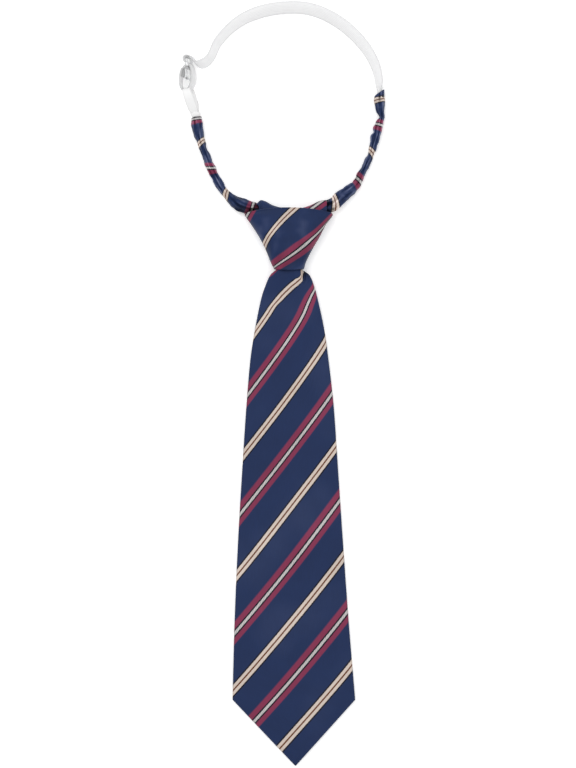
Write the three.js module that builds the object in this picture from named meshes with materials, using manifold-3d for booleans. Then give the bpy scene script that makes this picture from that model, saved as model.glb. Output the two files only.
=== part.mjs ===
// Ready-tied child's tie on an elastic neck loop, lying flat on a surface.
// Millimetres, +Z up. The origin is the middle of the knot's back, on the surface.
// The neck loop lies towards +Y and the pointed tip of the blade towards -Y.
import * as THREE from 'three';
import { mergeVertices } from 'three/addons/utils/BufferGeometryUtils.js';
import Module from 'manifold-3d';

const wasm = await Module();
wasm.setup();

// Cloth
const BLADE_WALL = 1.0;
const WRAP_WALL = 2.2;
const NECKBAND_WALL = 0.8;

// Sections of cloth forms: the radius of a foot as a share of the section's depth and width,
// and the steps and squareness of its curves
const FOOT_OF_DEPTH = 0.34;
const FOOT_OF_WIDTH = 0.3;
const FOOT_STEPS = 3;
const FLAT_SECTION = { domeSides: 10, squareness: 2.8 };
const ROLLED_SECTION = { domeSides: 8, squareness: 2.4 };
const TUBE_SECTION = { domeSides: 8, squareness: 2.2 };

// Blade: the tip is a corner between two straight edges, with rings at shares of the way
// down to it
const TIP = { x: 3.7, y: -301.5, width: 0.8, depth: 1.6 };
const TIP_SHARES = [0.35, 0.7, 0.93];
const HOLLOW_TIP_SHARES = [0.35, 0.7, 0.9];
const CORNER_Y = -263.7;
const EDGE_INSET = 1.6;
const SEAM_WIDTH = 1.0;
const SEAM_END_Y = -258;

// Rings between two rows of a table, and how far a cut runs past an open end
const RINGS_PER_ROW = 2;
const BLADE_RINGS_PER_ROW = 3;
const CUT_PAST_END = 2;

// Elastic
const ELASTIC_WIDTH = 7.4;
const ELASTIC_THICK = 0.9;
const LOOP_CENTRE = { x: -1.7, y: 78.1 };
const ARC_STEP_DEG = 4;
const ARC_FINE_STEPS = 8;

// Ribbon of the tab
const RIBBON_THICK = 0.7;
const RIBBON_AXIS = new THREE.Vector3(0.972, 0.235, 0);

// Slider: a flat plate on its long edge, leaning towards -X
const SLIDER = {
  length: 13.5, width: 10.8, thick: 1.4, bar: 1.4, rail: 1.05, corner: 1.6, cornerSteps: 3,
};
const SLIDER_FOOT = { x: -56.6, y: 99.15 };
const SLIDER_LEAN_X = -0.36;

const NAVY = 0x2b3759;
const BURGUNDY = 0x843d56;
const ELASTIC_WHITE = 0xe9eaec;
const RIBBON_WHITE = 0xf8f8f8;
const CLEAR_PLASTIC = 0xf1f4f6;

// Blade sections, from inside the knot down to the corners of the tip.
// left and right are the edges, base is the height of the back, depth is the thickness.
const BLADE_ROWS = [
  { y: 5, left: -6.0, right: 5.8, base: 2.6, depth: 5.6 },
  { y: -9, left: -6.0, right: 5.8, base: 2.6, depth: 5.6 },
  { y: -14.5, left: -6.0, right: 5.8, base: 2.6, depth: 5.6 },
  { y: -16.9, left: -6.3, right: 6.1, base: 2.6, depth: 5.6 },
  { y: -18.6, left: -8.9, right: 9.5, base: 2.3, depth: 6.1 },
  { y: -20.6, left: -10.9, right: 11.9, base: 1.9, depth: 6.2 },
  { y: -25.3, left: -13.1, right: 14.0, base: 1.0, depth: 6.3 },
  { y: -34.4, left: -16.1, right: 16.6, base: 0, depth: 6.0 },
  { y: -51.7, left: -19.6, right: 20.3, base: 0, depth: 4.8 },
  { y: -68.9, left: -22.2, right: 22.7, base: 0, depth: 4.0 },
  { y: -94.7, left: -24.4, right: 25.6, base: 0, depth: 3.4 },
  { y: -126.3, left: -26.5, right: 27.8, base: 0, depth: 3.2 },
  { y: -172.2, left: -29.2, right: 30.9, base: 0, depth: 3.1 },
  { y: -218.1, left: -31.2, right: 34.2, base: 0, depth: 3.1 },
  { y: CORNER_Y, left: -32.4, right: 38.0, base: 0, depth: 3.1 },
];

// Knot wrap, from its narrow end to its wide end. bow is how far the middle of an edge
// stands past its two ends.
const WRAP_ROWS = [
  { y: -16.2, left: -9.0, right: 8.8, depth: 11.0, bow: -0.9 },
  { y: -12.6, left: -10.7, right: 9.9, depth: 11.8, bow: -0.4 },
  { y: -5.7, left: -13.5, right: 13.4, depth: 13.2, bow: 0 },
  { y: 1.1, left: -17.0, right: 17.4, depth: 14.4, bow: 0.8 },
  { y: 8.0, left: -21.4, right: 21.0, depth: 15.4, bow: 2.2 },
  { y: 12.6, left: -24.7, right: 24.4, depth: 15.8, bow: 3.3 },
  { y: 14.6, left: -25.7, right: 25.5, depth: 15.2, bow: 4.1 },
];

// Collar of the knot, from its left ear to its right ear
const COLLAR_ROWS = [
  { x: -19.3, top: 20.2, bottom: 14.0, base: 5.0, depth: 3.2 },
  { x: -16.6, top: 22.3, bottom: 11.5, base: 4.0, depth: 5.6 },
  { x: -13.2, top: 21.6, bottom: 9.5, base: 3.2, depth: 7.4 },
  { x: -9.2, top: 20.1, bottom: 8.5, base: 2.9, depth: 8.8 },
  { x: -3.0, top: 18.9, bottom: 8.0, base: 2.9, depth: 9.4 },
  { x: 6.0, top: 18.9, bottom: 8.0, base: 2.9, depth: 9.4 },
  { x: 11.8, top: 19.8, bottom: 8.5, base: 3.2, depth: 8.4 },
  { x: 16.6, top: 21.5, bottom: 10.5, base: 4.0, depth: 6.2 },
  { x: 19.8, top: 22.4, bottom: 12.8, base: 5.2, depth: 4.2 },
  { x: 21.2, top: 21.8, bottom: 14.5, base: 5.8, depth: 3.0 },
];

// Neckbands, from the knot to their free mouths. width and depth are outside sizes.
const LEFT_NECKBAND_ROWS = [
  { x: -19.9, y: 19.0, base: 1.6, width: 6.2, depth: 5.6 },
  { x: -23.6, y: 19.4, base: 1.2, width: 7.0, depth: 6.2 },
  { x: -28.8, y: 20.9, base: 0.4, width: 6.9, depth: 6.4 },
  { x: -34.0, y: 24.4, base: 0, width: 5.6, depth: 5.8 },
  { x: -38.2, y: 28.9, base: 0, width: 4.7, depth: 5.0 },
  { x: -43.0, y: 37.6, base: 0, width: 4.6, depth: 4.6 },
  { x: -45.7, y: 43.2, base: 0, width: 4.8, depth: 4.8 },
  { x: -48.6, y: 50.6, base: 0, width: 4.7, depth: 4.6 },
  { x: -50.6, y: 56.0, base: 0, width: 5.1, depth: 4.9 },
  { x: -52.4, y: 64.2, base: 0, width: 6.3, depth: 5.2 },
  { x: -53.0, y: 70.6, base: 0, width: 6.1, depth: 5.4 },
];
const RIGHT_NECKBAND_ROWS = [
  { x: 22.3, y: 19.6, base: 1.6, width: 6.0, depth: 5.6 },
  { x: 26.2, y: 20.9, base: 1.2, width: 7.2, depth: 6.2 },
  { x: 30.6, y: 24.9, base: 0.4, width: 7.5, depth: 6.4 },
  { x: 35.4, y: 28.7, base: 0, width: 6.4, depth: 5.8 },
  { x: 39.0, y: 32.3, base: 0, width: 4.6, depth: 4.8 },
  { x: 42.7, y: 39.8, base: 0, width: 4.2, depth: 4.4 },
  { x: 44.8, y: 44.5, base: 0, width: 4.4, depth: 4.6 },
  { x: 46.6, y: 48.1, base: 0, width: 3.7, depth: 4.2 },
  { x: 48.0, y: 52.6, base: 0, width: 4.2, depth: 4.4 },
  { x: 50.3, y: 60.3, base: 0, width: 4.6, depth: 4.6 },
  { x: 52.2, y: 67.6, base: 0, width: 4.0, depth: 4.4 },
  { x: 52.9, y: 70.6, base: 0, width: 3.4, depth: 4.2 },
  { x: 52.4, y: 75.0, base: 0, width: 4.8, depth: 4.9 },
  { x: 52.0, y: 79.0, base: 0, width: 5.8, depth: 5.6 },
  { x: 51.8, y: 84.6, base: 0, width: 5.9, depth: 6.4 },
];

// Elastic round the back of the neck. radius is that of its lower, inner edge, and spread
// is how far outwards the upper edge leans.
const ELASTIC_ARC_ROWS = [
  { angle: 12, radius: 52.6, spread: 3.9, width: 6.6 },
  { angle: 20, radius: 53.0, spread: 4.8, width: ELASTIC_WIDTH },
  { angle: 30, radius: 52.8, spread: 5.6, width: ELASTIC_WIDTH },
  { angle: 45, radius: 52.2, spread: 6.4, width: ELASTIC_WIDTH },
  { angle: 60, radius: 52.2, spread: 6.8, width: ELASTIC_WIDTH },
  { angle: 75, radius: 52.4, spread: 6.8, width: ELASTIC_WIDTH },
  { angle: 90, radius: 51.5, spread: 6.9, width: ELASTIC_WIDTH },
  { angle: 105, radius: 51.0, spread: 7.1, width: ELASTIC_WIDTH },
  { angle: 118, radius: 51.1, spread: 6.1, width: ELASTIC_WIDTH },
  { angle: 130, radius: 50.6, spread: 5.2, width: ELASTIC_WIDTH },
  { angle: 140, radius: 49.8, spread: 4.6, width: ELASTIC_WIDTH },
];

// End of the elastic inside the right neckband: x, y and lift place the lower edge, and
// leanX, leanY is how far the upper edge stands to its side.
const ELASTIC_RIGHT_END_ROWS = [
  { x: 50.8, y: 80.2, lift: 1.3, leanX: 2.1, leanY: 0, width: 3.3 },
  { x: 50.7, y: 83.4, lift: 1.3, leanX: 2.1, leanY: 0.1, width: 3.4 },
  { x: 50.5, y: 86.0, lift: 1.1, leanX: 2.6, leanY: 0.3, width: 4.2 },
];

// Elastic through the slider, round the tab and back to the slider's middle bar
const ELASTIC_LOOP_ROWS = [
  { x: -42.3, y: 104.6, lift: 0, leanX: -3.2, leanY: 3.2, width: 7.4 },
  { x: -44.6, y: 101.4, lift: 0.1, leanX: -2.7, leanY: 3.7, width: 7.4 },
  { x: -47.4, y: 99.4, lift: 0.3, leanX: -2.4, leanY: 4.0, width: 7.4 },
  { x: -50.4, y: 98.9, lift: 0.8, leanX: -2.2, leanY: 3.6, width: 7.3 },
  { x: -52.4, y: 100.4, lift: 1.2, leanX: -2.3, leanY: 2.4, width: 7.2 },
  { x: -53.4, y: 103.0, lift: 1.5, leanX: -2.5, leanY: 1.0, width: 7.1 },
  { x: -54.9, y: 105.9, lift: 1.75, leanX: -2.6, leanY: 0.2, width: 7.1 },
  { x: -57.2, y: 107.3, lift: 1.75, leanX: -2.6, leanY: 0, width: 7.1 },
  { x: -59.2, y: 106.3, lift: 1.75, leanX: -2.6, leanY: 0, width: 7.1 },
  { x: -59.4, y: 104.2, lift: 1.75, leanX: -2.6, leanY: 0, width: 7.1 },
  { x: -58.3, y: 102.7, lift: 1.75, leanX: -2.6, leanY: 0, width: 7.1 },
  { x: -56.3, y: 101.8, lift: 1.75, leanX: -2.6, leanY: 0, width: 7.1 },
  { x: -55.3, y: 99.9, lift: 1.75, leanX: -2.6, leanY: 0, width: 7.1 },
  { x: -54.9, y: 96.6, lift: 1.75, leanX: -2.6, leanY: 0, width: 7.1 },
  { x: -54.0, y: 92.8, lift: 1.6, leanX: -2.7, leanY: 0.6, width: 7.2 },
  { x: -53.4, y: 88.6, lift: 1.3, leanX: -3.1, leanY: 2.2, width: 7.3 },
  { x: -53.8, y: 85.0, lift: 1.25, leanX: -3.3, leanY: 3.0, width: 7.3 },
  { x: -55.5, y: 82.2, lift: 1.25, leanX: -3.4, leanY: 3.3, width: 7.3 },
  { x: -57.6, y: 81.2, lift: 1.25, leanX: -3.4, leanY: 3.3, width: 7.3 },
  { x: -59.8, y: 82.2, lift: 1.25, leanX: -3.2, leanY: 3.2, width: 7.3 },
  { x: -61.1, y: 84.8, lift: 1.25, leanX: -2.9, leanY: 2.8, width: 7.3 },
  { x: -61.3, y: 88.6, lift: 1.3, leanX: -2.7, leanY: 2.0, width: 7.3 },
  { x: -60.9, y: 92.6, lift: 1.6, leanX: -2.6, leanY: 0.8, width: 7.2 },
  { x: -60.0, y: 96.4, lift: 1.75, leanX: -2.6, leanY: 0, width: 7.1 },
  { x: -59.4, y: 99.2, lift: 1.75, leanX: -2.6, leanY: 0, width: 7.1 },
];

// Ribbon of the tab: out of the left neckband along the surface, up round its fold and back
const TAB_ROWS = [
  { x: -52.8, y: 67.2, z: 1.9, width: 2.5 },
  { x: -53.0, y: 71.0, z: 1.9, width: 2.6 },
  { x: -53.7, y: 73.8, z: 1.3, width: 4.2 },
  { x: -54.6, y: 77.4, z: 0.5, width: 5.4 },
  { x: -55.8, y: 82.0, z: 0.4, width: 5.4 },
  { x: -56.9, y: 85.8, z: 0.4, width: 5.3 },
  { x: -57.4, y: 87.9, z: 0.9, width: 5.0 },
  { x: -57.9, y: 88.9, z: 2.5, width: 4.7 },
  { x: -58.8, y: 89.0, z: 4.4, width: 4.6 },
  { x: -59.8, y: 88.8, z: 6.4, width: 4.5 },
  { x: -59.9, y: 87.8, z: 8.0, width: 4.6 },
  { x: -58.9, y: 85.8, z: 8.4, width: 5.0 },
  { x: -57.6, y: 82.4, z: 8.1, width: 5.6 },
  { x: -56.2, y: 78.2, z: 6.5, width: 5.6 },
  { x: -54.7, y: 74.4, z: 4.8, width: 5.0 },
  { x: -53.3, y: 71.6, z: 3.3, width: 2.6 },
  { x: -52.8, y: 67.2, z: 3.1, width: 2.5 },
];

// Rows between the given ones, every column following a smooth curve through its values
function smoothRows(rows, perSpan) {
  const columns = Object.keys(rows[0]);
  const last = rows.length - 1;
  const result = [];
  for (let i = 0; i < last; i += 1) {
    for (let step = 0; step < perSpan; step += 1) {
      const t = step / perSpan;
      const row = {};
      for (const column of columns) {
        const before = rows[Math.max(i - 1, 0)][column];
        const here = rows[i][column];
        const next = rows[i + 1][column];
        const after = rows[Math.min(i + 2, last)][column];
        const startSlope = (next - before) / 2;
        const endSlope = (after - here) / 2;
        row[column] = here + startSlope * t
          + (3 * (next - here) - 2 * startSlope - endSlope) * t * t
          + (2 * (here - next) + startSlope + endSlope) * t * t * t;
      }
      result.push(row);
    }
  }
  result.push({ ...rows[last] });
  return result;
}

// Outline of a cloth form that rests flat: a domed top, two rounded feet and a level
// underside. Each point is across and up, and the outline runs once round.
function archSection(width, depth, domeSides, squareness) {
  const shoulder = Math.min(depth * FOOT_OF_DEPTH, width * FOOT_OF_WIDTH);
  const half = width / 2;
  const points = [];
  for (let i = 0; i <= domeSides; i += 1) {
    const angle = Math.PI * i / domeSides;
    const cos = Math.cos(angle);
    points.push({
      across: half * Math.sign(cos) * Math.abs(cos) ** (2 / squareness),
      up: shoulder + (depth - shoulder) * Math.sin(angle) ** (2 / squareness),
    });
  }
  const footPoint = (side, step) => {
    const angle = Math.PI / 2 * step / FOOT_STEPS;
    return {
      across: side * (half - shoulder * (1 - Math.cos(angle))),
      up: shoulder * (1 - Math.sin(angle)),
    };
  };
  for (let step = 1; step <= FOOT_STEPS; step += 1) {
    points.push(footPoint(-1, step));
  }
  for (let step = FOOT_STEPS; step >= 1; step -= 1) {
    points.push(footPoint(1, step));
  }
  return points;
}

// Closed geometry through rings of points, its two ends filled, its faces outwards
function loft(rings) {
  const size = rings[0].length;
  const positions = [];
  const faces = [];
  for (const ring of rings) {
    for (const point of ring) {
      positions.push(point.x, point.y, point.z);
    }
  }
  for (let r = 0; r + 1 < rings.length; r += 1) {
    for (let i = 0; i < size; i += 1) {
      const a = r * size + i;
      const b = r * size + (i + 1) % size;
      faces.push([a, b, b + size], [a, b + size, a + size]);
    }
  }
  const addEnd = (ring, first, flip) => {
    const middle = new THREE.Vector3();
    ring.forEach((point) => middle.addScaledVector(point, 1 / size));
    const hub = positions.length / 3;
    positions.push(middle.x, middle.y, middle.z);
    for (let i = 0; i < size; i += 1) {
      const a = first + i;
      const b = first + (i + 1) % size;
      faces.push(flip ? [hub, b, a] : [hub, a, b]);
    }
  };
  addEnd(rings[0], 0, true);
  addEnd(rings[rings.length - 1], (rings.length - 1) * size, false);
  const vertex = (index) => new THREE.Vector3().fromArray(positions, index * 3);
  let volume = 0;
  for (const [a, b, c] of faces) {
    volume += vertex(a).dot(vertex(b).cross(vertex(c)));
  }
  const outward = volume > 0 ? faces : faces.map(([a, b, c]) => [a, c, b]);
  const geometry = new THREE.BufferGeometry();
  geometry.setAttribute('position', new THREE.Float32BufferAttribute(positions, 3));
  geometry.setIndex(outward.flat());
  return geometry;
}

// Solid of a closed geometry, for joins and cuts
function solid(geometry) {
  const bare = geometry.clone();
  bare.deleteAttribute('normal');
  bare.deleteAttribute('uv');
  const merged = mergeVertices(bare, 1e-4);
  return new wasm.Manifold(new wasm.Mesh({
    numProp: 3,
    vertProperties: new Float32Array(merged.getAttribute('position').array),
    triVerts: new Uint32Array(merged.getIndex().array),
  }));
}

// Geometry of a solid
function surface(manifold) {
  const mesh = manifold.getMesh();
  const geometry = new THREE.BufferGeometry();
  geometry.setAttribute('position', new THREE.Float32BufferAttribute(mesh.vertProperties, 3));
  geometry.setIndex(Array.from(mesh.triVerts));
  geometry.computeVertexNormals();
  return geometry;
}

// Rings across the Y axis, each an arch between left and right that may bow along Y
function crossRings(rows, inset = { side: 0, floor: 0, crown: 0 }) {
  return rows.map((row) => {
    const width = row.right - row.left - 2 * inset.side;
    const middle = (row.right + row.left) / 2;
    const depth = row.depth - inset.floor - inset.crown;
    const bow = row.bow ?? 0;
    const { domeSides, squareness } = FLAT_SECTION;
    return archSection(width, depth, domeSides, squareness).map((point) => {
      const share = 2 * point.across / (row.right - row.left);
      return new THREE.Vector3(
        middle + point.across,
        row.y + bow * (1 - share * share),
        Math.max(row.base ?? 0, 0) + inset.floor + point.up,
      );
    });
  });
}

// Rings across a path that lies on the surface, each an arch of the row's width and depth
function pathRings(rows, wall = 0) {
  return rows.map((row, index) => {
    const before = rows[Math.max(index - 1, 0)];
    const after = rows[Math.min(index + 1, rows.length - 1)];
    const ahead = new THREE.Vector2(after.x - before.x, after.y - before.y).normalize();
    const { domeSides, squareness } = TUBE_SECTION;
    const section = archSection(row.width - 2 * wall, row.depth - 2 * wall, domeSides, squareness);
    return section.map((point) => new THREE.Vector3(
      row.x + ahead.y * point.across,
      row.y - ahead.x * point.across,
      Math.max(row.base, 0) + wall + point.up,
    ));
  });
}

// The same rows with their first and last ones carried on by a length
function extended(rows, length) {
  const carryOn = (end, inner) => {
    const ahead = new THREE.Vector2(end.x - inner.x, end.y - inner.y).setLength(length);
    return { ...end, x: end.x + ahead.x, y: end.y + ahead.y };
  };
  const last = rows.length - 1;
  return [carryOn(rows[0], rows[1]), ...rows, carryOn(rows[last], rows[last - 1])];
}

// Blade: an envelope of cloth, open at its top and along the seam of its back
function makeBlade() {
  const tipRow = {
    y: TIP.y,
    left: TIP.x - TIP.width / 2,
    right: TIP.x + TIP.width / 2,
    base: 0,
    depth: TIP.depth,
  };
  const corner = BLADE_ROWS[BLADE_ROWS.length - 1];
  const tipShare = (share) => {
    const row = {};
    for (const column of Object.keys(corner)) {
      row[column] = corner[column] + (tipRow[column] - corner[column]) * share;
    }
    row.depth = corner.depth;
    return row;
  };
  const body = smoothRows(BLADE_ROWS, BLADE_RINGS_PER_ROW);
  const outer = solid(loft(crossRings([...body, ...TIP_SHARES.map(tipShare), tipRow])));
  const hollowRows = [
    { ...body[0], y: body[0].y + CUT_PAST_END },
    ...body,
    ...HOLLOW_TIP_SHARES.map(tipShare),
  ];
  const inset = { side: EDGE_INSET, floor: BLADE_WALL, crown: BLADE_WALL };
  const hollow = solid(loft(crossRings(hollowRows, inset)));
  const seamRows = hollowRows.filter((row) => row.y > SEAM_END_Y);
  const seam = solid(loft(seamRows.map((row) => {
    const middle = (row.left + row.right) / 2;
    const corners = [[-1, -1], [1, -1], [1, 1], [-1, 1]];
    return corners.map(([side, level]) => new THREE.Vector3(
      middle + side * SEAM_WIDTH / 2,
      row.y,
      Math.max(row.base, 0) + BLADE_WALL / 2 + level * BLADE_WALL,
    ));
  })));
  return surface(outer.subtract(hollow).subtract(seam));
}

// Knot wrap: a band of cloth all round, open at its top and bottom
function makeKnotWrap() {
  const rows = smoothRows(WRAP_ROWS, RINGS_PER_ROW);
  const last = rows.length - 1;
  const cutRows = [
    { ...rows[0], y: rows[0].y - CUT_PAST_END },
    ...rows,
    { ...rows[last], y: rows[last].y + CUT_PAST_END },
  ];
  const inset = { side: WRAP_WALL, floor: WRAP_WALL, crown: WRAP_WALL };
  const outer = solid(loft(crossRings(rows)));
  return surface(outer.subtract(solid(loft(crossRings(cutRows, inset)))));
}

// Collar: the rolled cloth across the top of the knot, higher at its two ears
function makeKnotCollar() {
  const { domeSides, squareness } = ROLLED_SECTION;
  const rings = smoothRows(COLLAR_ROWS, RINGS_PER_ROW).map((row) => {
    const middle = (row.top + row.bottom) / 2;
    const section = archSection(row.top - row.bottom, row.depth, domeSides, squareness);
    return section.map((point) => (
      new THREE.Vector3(row.x, middle + point.across, row.base + point.up)));
  });
  return loft(rings);
}

// Neckband: a tube of cloth, open at both ends
function makeNeckband(tableRows) {
  const rows = smoothRows(tableRows, RINGS_PER_ROW);
  const outer = solid(loft(pathRings(rows)));
  const hollow = solid(loft(pathRings(extended(rows, CUT_PAST_END), NECKBAND_WALL)));
  return surface(outer.subtract(hollow));
}

// Rows of the elastic's round stretch, in the columns of its other rows
function arcRows() {
  const first = ELASTIC_ARC_ROWS[0].angle;
  const last = ELASTIC_ARC_ROWS[ELASTIC_ARC_ROWS.length - 1].angle;
  const fine = smoothRows(ELASTIC_ARC_ROWS, ARC_FINE_STEPS);
  const result = [];
  for (let angle = first; angle <= last; angle += ARC_STEP_DEG) {
    const row = fine.reduce((best, candidate) => (
      Math.abs(candidate.angle - angle) < Math.abs(best.angle - angle) ? candidate : best));
    const turn = THREE.MathUtils.degToRad(row.angle);
    result.push({
      x: LOOP_CENTRE.x + row.radius * Math.cos(turn),
      y: LOOP_CENTRE.y + row.radius * Math.sin(turn),
      lift: 0,
      leanX: row.spread * Math.cos(turn),
      leanY: row.spread * Math.sin(turn),
      width: row.width,
    });
  }
  return result;
}

// Elastic: a flat strap on its lower edge, leaning as far as each row says
function makeElastic() {
  const rows = [
    ...smoothRows(ELASTIC_RIGHT_END_ROWS, RINGS_PER_ROW),
    ...arcRows(),
    ...smoothRows(ELASTIC_LOOP_ROWS, RINGS_PER_ROW),
  ];
  const strips = rows.map((row) => {
    const rise = Math.sqrt(row.width ** 2 - row.leanX ** 2 - row.leanY ** 2);
    return {
      low: new THREE.Vector3(row.x, row.y, row.lift),
      lean: new THREE.Vector3(row.leanX, row.leanY, rise),
    };
  });
  const rings = strips.map(({ low, lean }, index) => {
    const before = strips[Math.max(index - 1, 0)].low;
    const after = strips[Math.min(index + 1, strips.length - 1)].low;
    const ahead = after.clone().sub(before);
    const across = ahead.cross(lean).setLength(ELASTIC_THICK / 2);
    const clear = new THREE.Vector3(0, 0, Math.abs(across.z));
    const start = low.clone().add(clear);
    const end = start.clone().add(lean);
    return [
      start.clone().sub(across),
      start.clone().add(across),
      end.clone().add(across),
      end.clone().sub(across),
    ];
  });
  return loft(rings);
}

// Tab: a ribbon folded round the loop of the elastic, both ends in the left neckband
function makeTab() {
  const rows = smoothRows(TAB_ROWS, RINGS_PER_ROW);
  const rings = rows.map((row, index) => {
    const before = rows[Math.max(index - 1, 0)];
    const after = rows[Math.min(index + 1, rows.length - 1)];
    const ahead = new THREE.Vector3(after.x - before.x, after.y - before.y, after.z - before.z);
    const across = RIBBON_AXIS.clone().setLength(row.width / 2);
    const out = ahead.cross(across).setLength(RIBBON_THICK / 2);
    const middle = new THREE.Vector3(row.x, row.y, row.z);
    return [[-1, -1], [1, -1], [1, 1], [-1, 1]].map(([side, level]) => (
      middle.clone().addScaledVector(across, side).addScaledVector(out, level)));
  });
  return loft(rings);
}

// Slider: a plate with a slot each side of its middle bar
function makeSlider() {
  const halfLength = SLIDER.length / 2;
  const halfWidth = SLIDER.width / 2;
  const rim = [];
  for (const [sideX, sideY, quarter] of [[1, 1, 0], [-1, 1, 1], [-1, -1, 2], [1, -1, 3]]) {
    for (let i = 0; i <= SLIDER.cornerSteps; i += 1) {
      const angle = Math.PI / 2 * (quarter + i / SLIDER.cornerSteps);
      rim.push(new THREE.Vector2(
        sideX * (halfLength - SLIDER.corner) + SLIDER.corner * Math.cos(angle),
        sideY * (halfWidth - SLIDER.corner) + SLIDER.corner * Math.sin(angle),
      ));
    }
  }
  const plate = new THREE.ExtrudeGeometry(new THREE.Shape(rim), {
    depth: SLIDER.thick, bevelEnabled: false,
  });
  plate.translate(0, 0, -SLIDER.thick / 2);
  const slotLength = halfLength - 1.5 * SLIDER.bar;
  let pierced = solid(plate);
  for (const side of [-1, 1]) {
    const slot = new THREE.BoxGeometry(
      slotLength, SLIDER.width - 2 * SLIDER.rail, SLIDER.thick * 2,
    );
    slot.translate(side * (SLIDER.bar + slotLength) / 2, 0, 0);
    pierced = pierced.subtract(solid(slot));
  }
  return surface(pierced);
}

// Places the slider on its lower long edge
function placeSlider(mesh) {
  const along = new THREE.Vector3(0, 1, 0);
  const upBar = new THREE.Vector3(SLIDER_LEAN_X, 0, Math.sqrt(1 - SLIDER_LEAN_X ** 2));
  const face = along.clone().cross(upBar);
  const foot = new THREE.Vector3(SLIDER_FOOT.x, SLIDER_FOOT.y, Math.abs(face.z) * SLIDER.thick / 2);
  mesh.setRotationFromMatrix(new THREE.Matrix4().makeBasis(along, upBar, face));
  mesh.position.copy(foot.addScaledVector(upBar, SLIDER.width / 2));
}

function addPiece(group, name, geometry, color, roughness) {
  const material = new THREE.MeshStandardMaterial({ color, roughness, metalness: 0 });
  const mesh = new THREE.Mesh(geometry, material);
  mesh.name = name;
  group.add(mesh);
  return mesh;
}

const group = new THREE.Group();
addPiece(group, 'blade', makeBlade(), NAVY, 0.6);
addPiece(group, 'knot_wrap', makeKnotWrap(), NAVY, 0.6);
addPiece(group, 'knot_collar', makeKnotCollar(), BURGUNDY, 0.6);
addPiece(group, 'neckband_left', makeNeckband(LEFT_NECKBAND_ROWS), NAVY, 0.6);
addPiece(group, 'neckband_right', makeNeckband(RIGHT_NECKBAND_ROWS), NAVY, 0.6);
addPiece(group, 'elastic_strap', makeElastic(), ELASTIC_WHITE, 0.8);
addPiece(group, 'tab', makeTab(), RIBBON_WHITE, 0.5);
placeSlider(addPiece(group, 'slider', makeSlider(), CLEAR_PLASTIC, 0.15));

export default group;
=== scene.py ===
"""Looks of a ready-tied elastic tie: cloth, elastic, ribbon, slider, stitches and studio."""

import logging
import math
from dataclasses import dataclass
from enum import Enum
from typing import NamedTuple, Protocol, Sequence

import bmesh
import bpy
import numpy as np
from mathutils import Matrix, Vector, noise


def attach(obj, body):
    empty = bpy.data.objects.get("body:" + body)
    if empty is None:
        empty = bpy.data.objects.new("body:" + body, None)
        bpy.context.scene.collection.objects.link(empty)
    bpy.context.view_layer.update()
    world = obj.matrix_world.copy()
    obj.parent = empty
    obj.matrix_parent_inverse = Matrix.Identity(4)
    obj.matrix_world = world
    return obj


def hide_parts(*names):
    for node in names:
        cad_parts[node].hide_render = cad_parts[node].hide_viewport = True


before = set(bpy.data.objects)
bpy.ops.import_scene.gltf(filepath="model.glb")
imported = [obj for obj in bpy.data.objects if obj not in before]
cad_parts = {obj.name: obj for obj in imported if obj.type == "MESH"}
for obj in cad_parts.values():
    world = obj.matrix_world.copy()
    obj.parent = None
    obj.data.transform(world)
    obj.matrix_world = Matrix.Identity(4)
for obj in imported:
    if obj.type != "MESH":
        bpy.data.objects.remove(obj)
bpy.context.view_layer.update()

# Short names for types
Piece = bpy.types.Object
Socket = bpy.types.NodeSocket
Material = bpy.types.Material
Colour = tuple[int, int, int]
Place = tuple[float, float, float]

log = logging.getLogger("tie")

# The script's unit is the millimetre, and a mesh is written in metres
MM = 0.001
BODY = "root"

# The pattern: a set of cream stripes and a set with a white stripe take turns, this far apart
STRIPE_PITCH = 20.7
N_PER_MM = 1 / STRIPE_PITCH

# Where the middles of the two sets lie across one set of each, from 0 to 1
CREAM_MIDDLE = 0.25
WHITE_MIDDLE = 0.75

# A wave texture of this scale has one band a unit
WAVE_UNIT = math.pi / 10


def linear(red: int, green: int, blue: int) -> tuple[float, float, float, float]:
    """Turns an 8-bit display colour into a shader colour.

    Args:
        red: Red, 0 to 255.
        green: Green, 0 to 255.
        blue: Blue, 0 to 255.

    Returns:
        The linear colour, with alpha 1.
    """
    def one(value: int) -> float:
        """Linear value of one channel."""
        share = value / 255
        return share / 12.92 if share <= 0.04045 else ((share + 0.055) / 1.055) ** 2.4

    return one(red), one(green), one(blue), 1.0


class Slot(Enum):
    """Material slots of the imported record."""

    CLOTH = "striped_cloth"
    ELASTIC = "white_elastic"
    RIBBON = "white_ribbon"
    PLASTIC = "clear_plastic"


class Hold(Enum):
    """How a sheet of cloth is held."""

    FOLDED = "folded"
    GATHERED = "gathered"


class BladeRow(NamedTuple):
    """One section across the blade, in millimetres."""

    y: float
    left: float
    right: float
    base: float
    depth: float


class WrapRow(NamedTuple):
    """One section across the knot's wrap. bow is how far its middle stands past its ends."""

    y: float
    left: float
    right: float
    depth: float
    bow: float


class CollarRow(NamedTuple):
    """One section of the rolled collar over the knot."""

    x: float
    top: float
    bottom: float
    base: float
    depth: float


class BandRow(NamedTuple):
    """One section of a neckband. index is the stripe that crosses it there, and twist is how
    far the stripes slant round the tube, in stripes."""

    x: float
    y: float
    base: float
    width: float
    depth: float
    index: float
    twist: float


class StrapRow(NamedTuple):
    """One place along the elastic: its lower edge, and how far its upper edge leans."""

    x: float
    y: float
    lift: float
    lean_x: float
    lean_y: float
    width: float


class ArcRow(NamedTuple):
    """One place on the round stretch of the elastic."""

    angle: float
    radius: float
    spread: float
    width: float


class TabRow(NamedTuple):
    """One place along the tab's ribbon."""

    x: float
    y: float
    z: float
    width: float


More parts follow.
